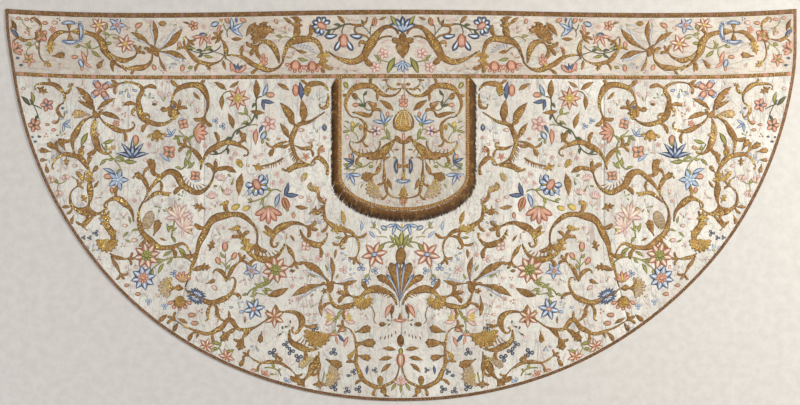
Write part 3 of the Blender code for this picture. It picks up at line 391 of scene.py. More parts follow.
BODY_COMBS = (
    Comb(6, 2.6, -60, "gold", ((41, 56.5), (42.8, 54), (43.5, 51))),
    Comb(7, 2, 60, "gold", ((45.6, 54.8), (48.4, 56.4), (52, 57.4))),
    Comb(9, 2, 40, "blue", ((121, 54.2), (125.5, 52.3), (129, 53.2), (131.4, 56))),
    Comb(7, 2.6, -70, "gold", ((29, 71), (29.8, 74), (28.5, 77.5))),
    Comb(8, 2.8, -70, "gold", ((46, 89), (49, 91), (53, 91), (57, 88.5))),
    Comb(6, 2.4, -70, "gold", ((38.5, 81.5), (36, 84.5), (33, 86))),
    Comb(8, 2.8, -65, "gold", ((73, 64.5), (76, 66.5), (80, 65.5), (83, 62))),
    Comb(5, 1.6, 60, "brown", ((1.2, 117.8), (4, 119.4), (7.6, 120.2))),
    Comb(8, 4.6, 75, "gold", ((39, 122), (35.5, 123.8), (31, 123.6), (28, 121))),
    Comb(5, 2.6, 70, "gold", ((2.5, 105.8), (4.5, 103.6), (7.5, 102.8))),
    Comb(6, 2.6, 60, "gold", ((12.5, 105), (16, 107.6), (20, 108.6))),
    Comb(7, 3.2, -75, "gold", ((115.5, 64.5), (117, 62.5), (119.5, 61.8), (121.5, 63))),
    Comb(6, 2.4, -70, "gold", ((97.5, 80), (95.5, 83.5), (92, 86))),
    Comb(6, 2.4, 70, "gold", ((63.8, 104.5), (68, 107), (73, 106.5))),
)

# ---- Leaves, flowers and sprigs ------------------------------------------------------------------
# x and y in cm as above. heading is the way that the motif points, in degrees: 0 outwards from the
# centre line, 90 towards the hem, -90 towards the straight edge. size in cm. colours: the main one,
# and the inner one. A flip of -1 mirrors the motif about its heading.

Motif = namedtuple("Motif", "kind x y heading size colours flip", defaults=(1,))

ORPHREY_MOTIFS = (
    ("iris", 0, 5.4, -90, 6.2, "navy blue"), ("leaf", 3.3, 5.2, -60, 6, "green"),
    ("fleur", 0, 13.4, 90, 9.6, "gold brown"), ("leaf", 4.9, 20.6, 62, 6.6, "green"),
    ("harebell", 0, 21.3, 90, 4.6, "blue"), ("rosette", 7.8, 16.4, 0, 4.6, "pink coral"),
    ("rosette", 10.7, 21.4, 0, 4.4, "pink coral"), ("leaf", 7.4, 12, 200, 2.4, "pink"),
    ("egg", 10.9, 4.6, -100, 3.4, "coral gold"), ("leaf", 7.9, 3.5, 200, 2.8, "gold"),
    ("leaf", 22.9, 3.9, -50, 4.2, "gold"), ("bloom", 22.2, 12.9, 90, 7.6, "navy coral"),
    ("frill", 29.6, 6.2, -30, 6.8, "navy coral"), ("leaf", 30, 9, 30, 3.6, "blue"),
    ("pair", 17, 3.6, -60, 2.2, "pink"), ("pair", 20, 3.6, -100, 2, "pink"),
    ("pair", 18, 22, -90, 2.4, "pink"), ("pair", 21, 22.2, -90, 2.2, "pink"),
    ("pair", 24.5, 21.2, -60, 2.4, "pink"), ("bud", 27.6, 21.2, 0, 1.8, "pink"),
    ("lobed", 30, 17.8, 95, 7, "spangled"), ("leaf", 28.2, 16.4, 120, 3, "spangled"),
    ("leaf", 37.8, 15.6, 165, 3.8, "gold coral"), ("pair", 42, 17, -60, 2.6, "coral"),
    ("leaf", 37.8, 18.5, 165, 3.8, "green"), ("dome", 34.3, 21.7, 90, 5, "coral coral"),
    ("dome", 40.6, 21.4, 80, 5.2, "coral coral"), ("lobed", 38.2, 5.2, -100, 6.6, "gold"),
    ("leaf", 41.4, 4.4, -40, 4, "gold rose"), ("pair", 42.6, 7.6, -80, 3, "pink coral"),
    ("bud", 45.8, 4.6, -60, 2.2, "coral"), ("pair", 47.6, 8, -40, 3, "pink coral"),
    ("shell", 52.2, 8, -56, 6.4, "gold"), ("leaf", 55.2, 7.2, 50, 6, "gold"),
    ("leaf", 50.3, 5.2, 185, 3, "gold"), ("bud", 53, 7.2, 0, 1.8, "coral"),
    ("rosette", 47.6, 13.6, 0, 2, "coral"), ("pair", 55.5, 11.8, -60, 2.6, "pink"),
    ("pair", 57, 15, -90, 2.6, "pink"), ("pair", 59.6, 14.8, -40, 2.4, "pink"),
    ("cone", 52, 18.4, -90, 4.4, "coral"), ("bud", 53.2, 20.6, 0, 2.2, "yellow"),
    ("trio", 60, 6.4, -150, 5.4, "blue"), ("leaf", 60.5, 3.9, -80, 2.8, "navy"),
    ("leaf", 60.3, 8, 110, 3.8, "blue"), ("bud", 57.9, 4.2, -30, 2.8, "coral"),
    ("bud", 63.8, 4.2, -60, 2.8, "coral"), ("leaf", 67, 7.3, 60, 3.6, "coral"),
    ("bud", 68.3, 5.6, 20, 3.4, "blue cream"), ("bud", 66, 3.8, -80, 2.2, "coral"),
    ("leaf", 61, 11, 180, 4, "gold"), ("leaf", 67.6, 11.4, 40, 3.6, "gold"),
    ("trio", 74, 12, 70, 5, "coral"), ("bud", 73, 9.6, 0, 3.2, "navy blue"),
    ("leaf", 71.2, 10.8, -120, 3.2, "coral"), ("crocus", 61.6, 20.9, -100, 4.8, "coral navy"),
    ("leaf", 64, 21.4, 80, 3, "coral"), ("rosette", 76.2, 6.2, 0, 4, "coral gold"),
    ("leaf", 78.6, 5.2, -20, 2.6, "brown"), ("leaf", 71.8, 14.5, 30, 3.6, "green"),
    ("leaf", 72.3, 17.4, 165, 3.6, "green"), ("leaf", 78, 14.4, -10, 3.4, "green"),
    ("lobed", 72.3, 21.2, 100, 3.6, "gold"), ("leaf", 66.6, 20.4, 100, 3.6, "gold"),
    ("bud", 82.2, 13.3, -90, 2.8, "coral"), ("bud", 79, 21.4, 20, 2, "green"),
    ("bud", 82, 21.6, 80, 2.8, "coral green"), ("bud", 92.4, 21.4, 120, 2.6, "coral"),
    ("bud", 87.5, 5.4, 0, 3, "gold"), ("bud", 96.3, 6, 30, 3.2, "coral"),
    ("ray", 90, 15.2, -140, 12.5, "gold grey"), ("ray", 91.4, 14, -92, 10, "gold grey"),
    ("ray", 92.4, 14, -38, 9.5, "gold grey"), ("ray", 90, 15.6, 166, 10.5, "gold grey", -1),
    ("ray", 90.2, 17, 112, 6.6, "gold grey"), ("egg", 91.2, 15.6, -70, 4.2, "gold"),
    ("egg", 93.2, 15.6, 0, 2.4, "gold coral"), ("star5", 104.2, 5.9, 12, 6.2, "blue coral"),
    ("star6", 111, 5.9, 0, 6, "coral yellow"), ("star6", 102, 12.8, 0, 6.6, "coral yellow"),
    ("bud", 108, 12.6, 0, 2.2, "green"), ("leaf", 105.4, 10.6, 160, 2.6, "green"),
    ("leaf", 107.7, 20.8, 95, 4.2, "gold"), ("club", 112, 20.2, 50, 4.6, "gold"),
    ("leaf", 103.4, 21.6, 120, 3, "gold"), ("wing", 119.8, 8.3, 180, 4.2, "gold blue"),
    ("wing", 121.9, 6.7, -90, 3.2, "gold blue"), ("wing", 121.9, 10.2, 90, 3.7, "gold blue"),
    ("bud", 121.9, 8.3, 0, 1.4, "brown"), ("lobed", 129.8, 14.4, 75, 4.8, "spangled"),
    ("lobed", 128.6, 12.6, 140, 3, "spangled"), ("leaf", 113.3, 16.4, 140, 4, "green"),
    ("leaf", 115.4, 12.7, -130, 2.8, "green"), ("leaf", 117.7, 18, -75, 5, "coral"),
    ("leaf", 116.8, 20.4, 140, 3.6, "coral"), ("egg", 119, 20, -70, 3.4, "blue cream"),
    ("bud", 121, 17.6, 0, 2.6, "coral"), ("bud", 118.9, 21.8, 90, 2, "coral"),
    ("club", 126.8, 17, 185, 5.4, "gold"), ("bud", 127, 5, 0, 2.6, "pink"),
    ("rosette", 128, 7.6, 0, 2.8, "coral"), ("bud", 130.5, 5.2, 0, 2.4, "coral"),
    ("dots", 125.4, 3.6, 0, 1.6, "navy"), ("rosette4", 132.3, 9.8, 0, 5, "coral green"),
    ("bud", 137.2, 3.8, 0, 2, "coral"), ("bud", 140.2, 3.4, 0, 2, "coral"),
    ("dots", 137.2, 8.6, 0, 2.6, "coral"), ("leaf", 142, 9, -50, 4.8, "navy"),
    ("leaf", 142, 6, -70, 4.6, "brown"), ("pair", 135.9, 13.6, 60, 3.2, "green"),
    ("lobed", 131.3, 20.2, 140, 4, "spangled"), ("tulip", 141.4, 14.2, -150, 4.6, "coral dark"),
    ("star5", 138, 18.6, 0, 5, "coral green"), ("bud", 142, 18, 0, 1.6, "navy"),
    ("bud", 141, 20.6, 0, 1.6, "navy"),
)

HOOD_MOTIFS = (
    ("bud", 2.6, 27.6, 0, 1.8, "gold"), ("bud", 0, 28.4, -90, 2.4, "coral gold"),
    ("cone", 0, 33.6, -90, 4.8, "coral"), ("vase", 0, 41, 90, 8, "spangled pink"),
    ("cup", 0, 47, -90, 4.6, "gold coral"), ("wing", 2, 57.6, 0, 3.1, "gold navy"),
    ("wing", 0, 61.5, 90, 3.2, "spangled blue"), ("fleur", 0, 67.2, -90, 4.4, "spangled"),
    ("cone", 0, 70.6, 90, 4, "coral"), ("bud", 17.7, 26.9, -90, 1.8, "pink"),
    ("bud", 22, 28, -60, 2.8, "green yellow"), ("sprig", 9, 28.2, -60, 3, "grey"),
    ("leaf", 10.4, 32, 88, 3.4, "gold"), ("bud", 12.6, 34.8, 170, 2.6, "coral"),
    ("bud", 18.4, 35.2, 0, 2.6, "coral"), ("bud", 18.7, 31.9, -40, 3, "gold"),
    ("leaf", 6.8, 35.4, -40, 6, "gold sky"), ("trio", 8.6, 39.6, -75, 5.2, "blue"),
    ("bud", 6.7, 38.7, -90, 2.2, "coral"), ("rosette", 11, 44.7, 0, 4.8, "pink navy"),
    ("leaf", 6.6, 45.8, -80, 3.6, "green"), ("leaf", 7.9, 47.4, 10, 3, "green"),
    ("bud", 19.5, 42.4, -80, 2.6, "yellow"), ("leaf", 17.9, 42.6, 40, 2.6, "green"),
    ("bud", 16.5, 43.4, -90, 2.4, "spangled"), ("leaf", 22, 45, 10, 3, "green"),
    ("bud", 21.5, 46.9, 90, 2.2, "pink"), ("leaf", 21.6, 41.4, -20, 2, "green"),
    ("leaf", 12.6, 49.7, 0, 2.2, "pink"), ("leaf", 15.8, 51, 10, 2.6, "pink"),
    ("trio", 21.2, 55.4, -20, 4.4, "navy"), ("bud", 20.2, 54.2, -60, 2.4, "coral"),
    ("leaf", 17, 56.6, -20, 2.4, "green"), ("bud", 12.8, 57.8, 0, 1.8, "green"),
    ("trio", 19.5, 62.7, 112, 5, "blue"), ("leaf", 21.6, 60.9, -20, 2.8, "blue"),
    ("bud", 21.8, 62.3, 90, 2.2, "coral"), ("leaf", 6, 64, 108, 4.4, "gold"),
    ("shell", 12.6, 66.6, 30, 5.4, "pale"), ("club", 13.6, 61.2, 14, 6.8, "gold"),
    ("bud", 6.5, 70.6, 0, 1.8, "pink"), ("bud", 9.6, 69.6, 0, 1.8, "pink"),
    ("leaf", 3.4, 51.6, 0, 2, "gold"), ("leaf", 16.2, 64.8, 60, 1.8, "green"),
    ("bud", 4, 54.5, 0, 1.2, "gold"),
)

BODY_TOP_MOTIFS = (
    ("leaf", 38.7, 30.2, -88, 6.2, "navy"), ("egg", 40.6, 29.8, -90, 4.6, "coral"),
    ("bud", 36, 29.6, -90, 3.6, "spangled"), ("leaf", 45, 28.6, -32, 4.8, "gold"),
    ("sprig", 32.5, 32, -80, 3.4, "grey"), ("sprig", 33.5, 44, -60, 3.2, "grey"),
    ("leaf", 37.9, 37.8, -88, 8.2, "gold pale"), ("leaf", 43.3, 38.3, -58, 8.6, "gold pale"),
    ("leaf", 44.5, 44.8, -62, 6, "gold pale"), ("leaf", 51.8, 30, -115, 4.8, "blue"),
    ("leaf", 51, 33.9, 165, 4.6, "navy"), ("leaf", 52.5, 35, 95, 4, "navy"),
    ("bud", 50, 31.5, 180, 3.4, "coral"), ("leaf", 55, 29.6, -92, 6.8, "gold"),
    ("leaf", 54.8, 37.8, 170, 5, "gold"), ("leaf", 58.9, 37.6, -90, 3.2, "green"),
    ("leaf", 60.6, 38.4, -20, 2.4, "green"), ("leaf", 59.3, 41.7, 30, 3, "green"),
    ("star", 61.8, 32.8, 0, 8, "coral yellow"), ("leaf", 63.2, 27.8, -150, 4, "gold"),
    ("leaf", 68, 28.3, -35, 5.2, "gold"), ("leaf", 67.6, 34, 85, 5.2, "gold"),
    ("leaf", 64.2, 41.2, -75, 5.6, "gold"), ("leaf", 60, 46.6, 115, 5, "gold"),
    ("rosette", 50.4, 42.2, 0, 6, "pink coral"), ("leaf", 53.2, 43.8, 60, 3.6, "navy"),
    ("bud", 52.3, 46.3, 60, 3.6, "blue cream"), ("leaf", 55.2, 46.6, 85, 5.6, "coral"),
    ("leaf", 56.4, 44.8, 0, 2.4, "pink"), ("bud", 52.8, 48.6, 90, 1.8, "green"),
    ("bud", 50.9, 47.8, 150, 1.6, "green"), ("trefoil", 67.4, 43, 0, 2.6, "blue"),
    ("trefoil", 69.9, 41, 0, 2.4, "blue"), ("bud", 30, 43.4, 90, 2.8, "navy sky"),
    ("bud", 38.6, 44.4, 0, 2.4, "pink"), ("bud", 47, 47.6, 0, 1.6, "coral"),
    ("rosette", 30.8, 51.7, 0, 2.4, "coral"), ("star5", 36.8, 54.2, 0, 3, "coral"),
    ("club", 49.2, 52.2, 60, 4.6, "gold"), ("bud", 61.2, 56.6, -60, 3.6, "spangled"),
    ("leaf", 64.8, 58.8, -25, 5.6, "gold"), ("leaf", 61, 64, 80, 7.6, "gold"),
    ("lobed", 54.2, 58, 160, 4.8, "spangled"), ("frill", 54.8, 64.4, 120, 8, "blue coral"),
    ("leaf", 51.4, 63, -100, 4.2, "blue"), ("leaf", 56.8, 67, 40, 3.6, "blue"),
    ("leaf", 44, 66.3, -110, 5, "navy sky"), ("leaf", 42.4, 68.2, 175, 5.2, "navy sky"),
    ("leaf", 47.3, 70, 70, 5.2, "blue"), ("egg", 44.3, 71.3, 110, 5, "coral gold"),
    ("bud", 43.7, 73.4, 100, 2, "green"), ("leaf", 38.6, 72.7, 170, 4.6, "gold"),
    ("trefoil", 47.4, 60.6, 0, 2.4, "pink"), ("trefoil", 45.8, 63.2, 30, 2.2, "pink"),
    ("trefoil", 49, 63.8, 0, 2.2, "pink"), ("tulip", 68, 61.4, -100, 3.2, "pink"),
    ("tulip", 65.6, 66.6, -80, 3.2, "pink"), ("tulip", 71.3, 68, -80, 3.4, "pink"),
    ("pair", 64.5, 62.5, 20, 3, "green"), ("pair", 68.8, 65.8, 60, 3, "green"),
    ("bud", 58.6, 73, 20, 3.2, "yellow"), ("bud", 62.6, 72.6, 30, 3.6, "yellow"),
    ("club", 66.6, 71.2, 200, 4, "spangled"), ("tulip", 50.6, 76, 90, 7.6, "coral pink"),
    ("club", 42, 58.6, 20, 5, "gold rose"), ("egg", 42.8, 59, 20, 2.8, "pale"),
    ("bud", 37.5, 61.6, 60, 3.6, "pale"), ("club", 33.2, 66, 150, 5.6, "rose pink"),
    ("rosette", 29.8, 69, 0, 2.8, "pink navy"), ("bud", 38.6, 69, 0, 2, "pink"),
    ("bud", 35.6, 70.2, 0, 2, "pink"), ("lobed", 33.4, 74, 80, 3.8, "gold"),
    ("leaf", 22.4, 76.6, -80, 5.2, "spangled"), ("lobed", 24, 80.6, 190, 6, "spangled"),
    ("leaf", 23.6, 83.8, 175, 2.8, "green"), ("rosette4", 36.6, 86.9, 0, 4, "pink"),
    ("bud", 41.4, 75.6, 90, 2.4, "coral"), ("pair", 29.6, 33.5, -60, 2.4, "grey"),
    ("bud", 34.6, 48.2, 0, 1.8, "pink"),
)

BODY_SIDE_MOTIFS = (
    ("sprig", 89.5, 27, 80, 3.6, "pink"), ("sprig", 90, 32, -60, 4.8, "pink"),
    ("sprig", 80, 34.5, -60, 3, "pink"), ("bud", 89, 36.6, 0, 2.2, "brown"),
    ("bud", 92.3, 34.9, 0, 2, "brown"), ("egg", 85, 38.6, 90, 4.2, "spangled"),
    ("leaf", 85.4, 36.2, 30, 3.8, "navy"), ("leaf", 77, 31.8, 130, 3.6, "gold"),
    ("tulip", 75, 45.4, 175, 6.2, "coral"), ("leaf", 79.5, 47.6, 60, 3, "green"),
    ("leaf", 83.5, 48.4, 90, 3.4, "green"), ("leaf", 81, 56.4, -95, 3.8, "green"),
    ("leaf", 79, 57.4, 220, 3.6, "green"), ("rosette4", 81.8, 42.2, 20, 4.2, "coral navy"),
    ("leaf", 82.6, 40.6, 30, 2.8, "sky"), ("rosette4", 87, 52.4, 0, 5.2, "coral navy"),
    ("leaf", 88.4, 54.6, -40, 4.6, "sky"), ("rosette4", 77.4, 61.2, 0, 4.2, "coral navy"),
    ("leaf", 76.4, 62.9, 20, 2.8, "sky"), ("trio", 87, 45, -60, 3.6, "blue"),
    ("dome", 91.4, 46.8, 95, 4.8, "spangled spangled"), ("lily", 100.4, 50.8, -90, 7.6, "navy blue"),
    ("bud", 99.3, 48.2, -90, 4.2, "coral yellow"), ("leaf", 101.4, 56, 175, 4.6, "green"),
    ("leaf", 105.6, 54.2, 200, 2.8, "green"), ("leaf", 111, 56, 40, 3.6, "green"),
    ("leaf", 109.4, 48.7, 195, 4.2, "green"), ("leaf", 118, 47.6, 60, 5.4, "green"),
    ("club", 108, 51, 200, 3.8, "rose"), ("star5", 105.8, 62.6, 15, 7.6, "blue frost"),
    ("leaf", 108.8, 59.4, -25, 4.6, "blue"), ("bud", 109.2, 61.4, 0, 3.6, "coral green"),
    ("sprig", 102, 31, 100, 4.2, "blue"), ("grape", 112, 29.6, 0, 7.6, "coral sky"),
    ("frond", 114.4, 37.4, -58, 11.5, "gold brown"), ("frond", 115.4, 37, -38, 6.4, "gold brown"),
    ("frond", 113.2, 37, -142, 8, "gold brown", -1), ("frond", 112.8, 38.2, 168, 8.4, "gold brown", -1),
    ("frond", 113.9, 40, 84, 10.5, "rose pink"), ("club", 119.4, 38.6, -5, 7.4, "rose pink"),
    ("egg", 114, 38.6, -60, 3.4, "gold coral"), ("rosette", 106.4, 42, 0, 2.8, "coral"),
    ("bud", 113.8, 46.2, 0, 2.8, "coral"), ("rosette", 131.7, 35.2, 0, 5.2, "coral navy"),
    ("rosette", 136.4, 42.6, 0, 5.4, "coral dark"), ("leaf", 139.4, 33.8, -50, 4.6, "dark"),
    ("leaf", 137, 32.6, -80, 4.2, "green"), ("lobed", 133.4, 29.8, 150, 4.6, "gold"),
    ("lobed", 123, 28, -150, 3, "gold"), ("bud", 124.8, 37.8, 0, 1.6, "blue"),
    ("bud", 126, 36.4, 0, 1.4, "navy"), ("trio", 124.2, 43, 150, 3.6, "blue"),
    ("bud", 126.4, 40, 0, 1.8, "sky"), ("bud", 134.5, 46.8, 0, 1.4, "navy"),
    ("bud", 137.2, 47, 0, 1.4, "navy"), ("bud", 136, 48.6, 0, 1.4, "navy"),
    ("bud", 129, 41.5, 0, 2, "coral"), ("bud", 129.3, 44.3, 0, 2, "coral"),
    ("bud", 131.6, 42.4, 0, 1.8, "coral"), ("club", 126.3, 49.6, -60, 5.2, "gold"),
    ("club", 129.8, 50.4, -35, 5.4, "gold"), ("club", 132.6, 52, -10, 4.8, "gold"),
    ("club", 133, 55.4, 0, 3.4, "gold"), ("club", 131.8, 58.6, 100, 3.8, "gold"),
    ("bud", 118.9, 52.8, -100, 2.6, "spangled"), ("club", 116.3, 55.4, -100, 4.2, "gold"),
    ("club", 114.2, 58.8, -130, 4, "gold"), ("lobed", 116.4, 61.8, -90, 6.2, "spangled"),
    ("leaf", 119.4, 61.6, -60, 4.8, "spangled"), ("leaf", 113.8, 64.4, -130, 3.2, "gold"),
    ("lobed", 124.6, 56, 90, 3.6, "gold"), ("tulip", 124.9, 62.2, 100, 3, "pink green"),
    ("tulip", 130.5, 62.2, -80, 3.4, "pink green"), ("tulip", 127.6, 68, 90, 3, "pink green"),
    ("bud", 121.5, 57.5, 0, 2, "pink"), ("bud", 119.5, 59.2, 0, 1.8, "pink"),
    ("club", 93.2, 57.6, -75, 6.8, "gold"), ("club", 97.6, 61.6, -40, 5.8, "gold"),
    ("egg", 94.6, 77.4, -110, 7.2, "pale"), ("club", 91.6, 80, -110, 6.8, "gold"),
    ("lotus", 84.2, 73.2, -78, 7.6, "pink cream"), ("egg", 86.8, 73.6, 60, 2.6, "green yellow"),
    ("lotus", 80, 78, -130, 6.8, "pink cream"), ("egg", 79.4, 81.2, 60, 2.8, "green yellow"),
    ("leaf", 82, 82, 80, 3.2, "pink"), ("leaf", 87.4, 80.4, -80, 3.4, "green"),
    ("leaf", 85.2, 80.8, 210, 2.6, "green"), ("lobed", 76, 72.6, -20, 5, "gold"),
    ("rosette4", 110.9, 77.9, 0, 2.6, "sky navy"), ("rosette4", 109.7, 86.5, 0, 2.6, "sky navy"),
    ("lobed", 110.6, 77.4, 90, 7, "spangled"), ("star4", 110.9, 77.9, 45, 2.8, "blue frost"),
    ("lobed", 107.6, 82, 200, 3.8, "spangled"), ("shell", 109.6, 87.2, 90, 5.6, "spangled"),
    ("star4", 109.7, 86, 45, 2.8, "blue frost"), ("sprig", 104.4, 75.6, -60, 3, "pink"),
    ("leaf", 101.4, 77.4, -80, 2.8, "green"), ("bud", 103.2, 79.4, 0, 2.2, "pink"),
    ("leaf", 99.4, 81, 15, 2.6, "green"), ("leaf", 102.8, 82.6, 40, 2.8, "green"),
    ("bud", 99.6, 84.8, 0, 2.6, "pink"), ("leaf", 102, 85, 150, 2.2, "green"),
    ("trefoil", 113.8, 82.2, 0, 2.6, "ink"), ("trefoil", 116, 83.9, 0, 2, "ink"),
    ("trefoil", 118.2, 83.8, 0, 1.8, "ink"), ("club", 118, 78.6, 70, 4.2, "gold"),
    ("club", 122.6, 77.4, 70, 4, "gold"), ("lobed", 118.2, 69.4, -60, 3.8, "spangled"),
    ("leaf", 124.8, 72.6, 0, 3.6, "gold"), ("bud", 108, 66.5, -80, 2.6, "coral"),
    ("pair", 92, 52, -60, 2.4, "pink"), ("bud", 95.6, 55.4, 0, 1.8, "pink"),
    ("leaf", 88, 67.8, 190, 3.6, "spangled"),
)

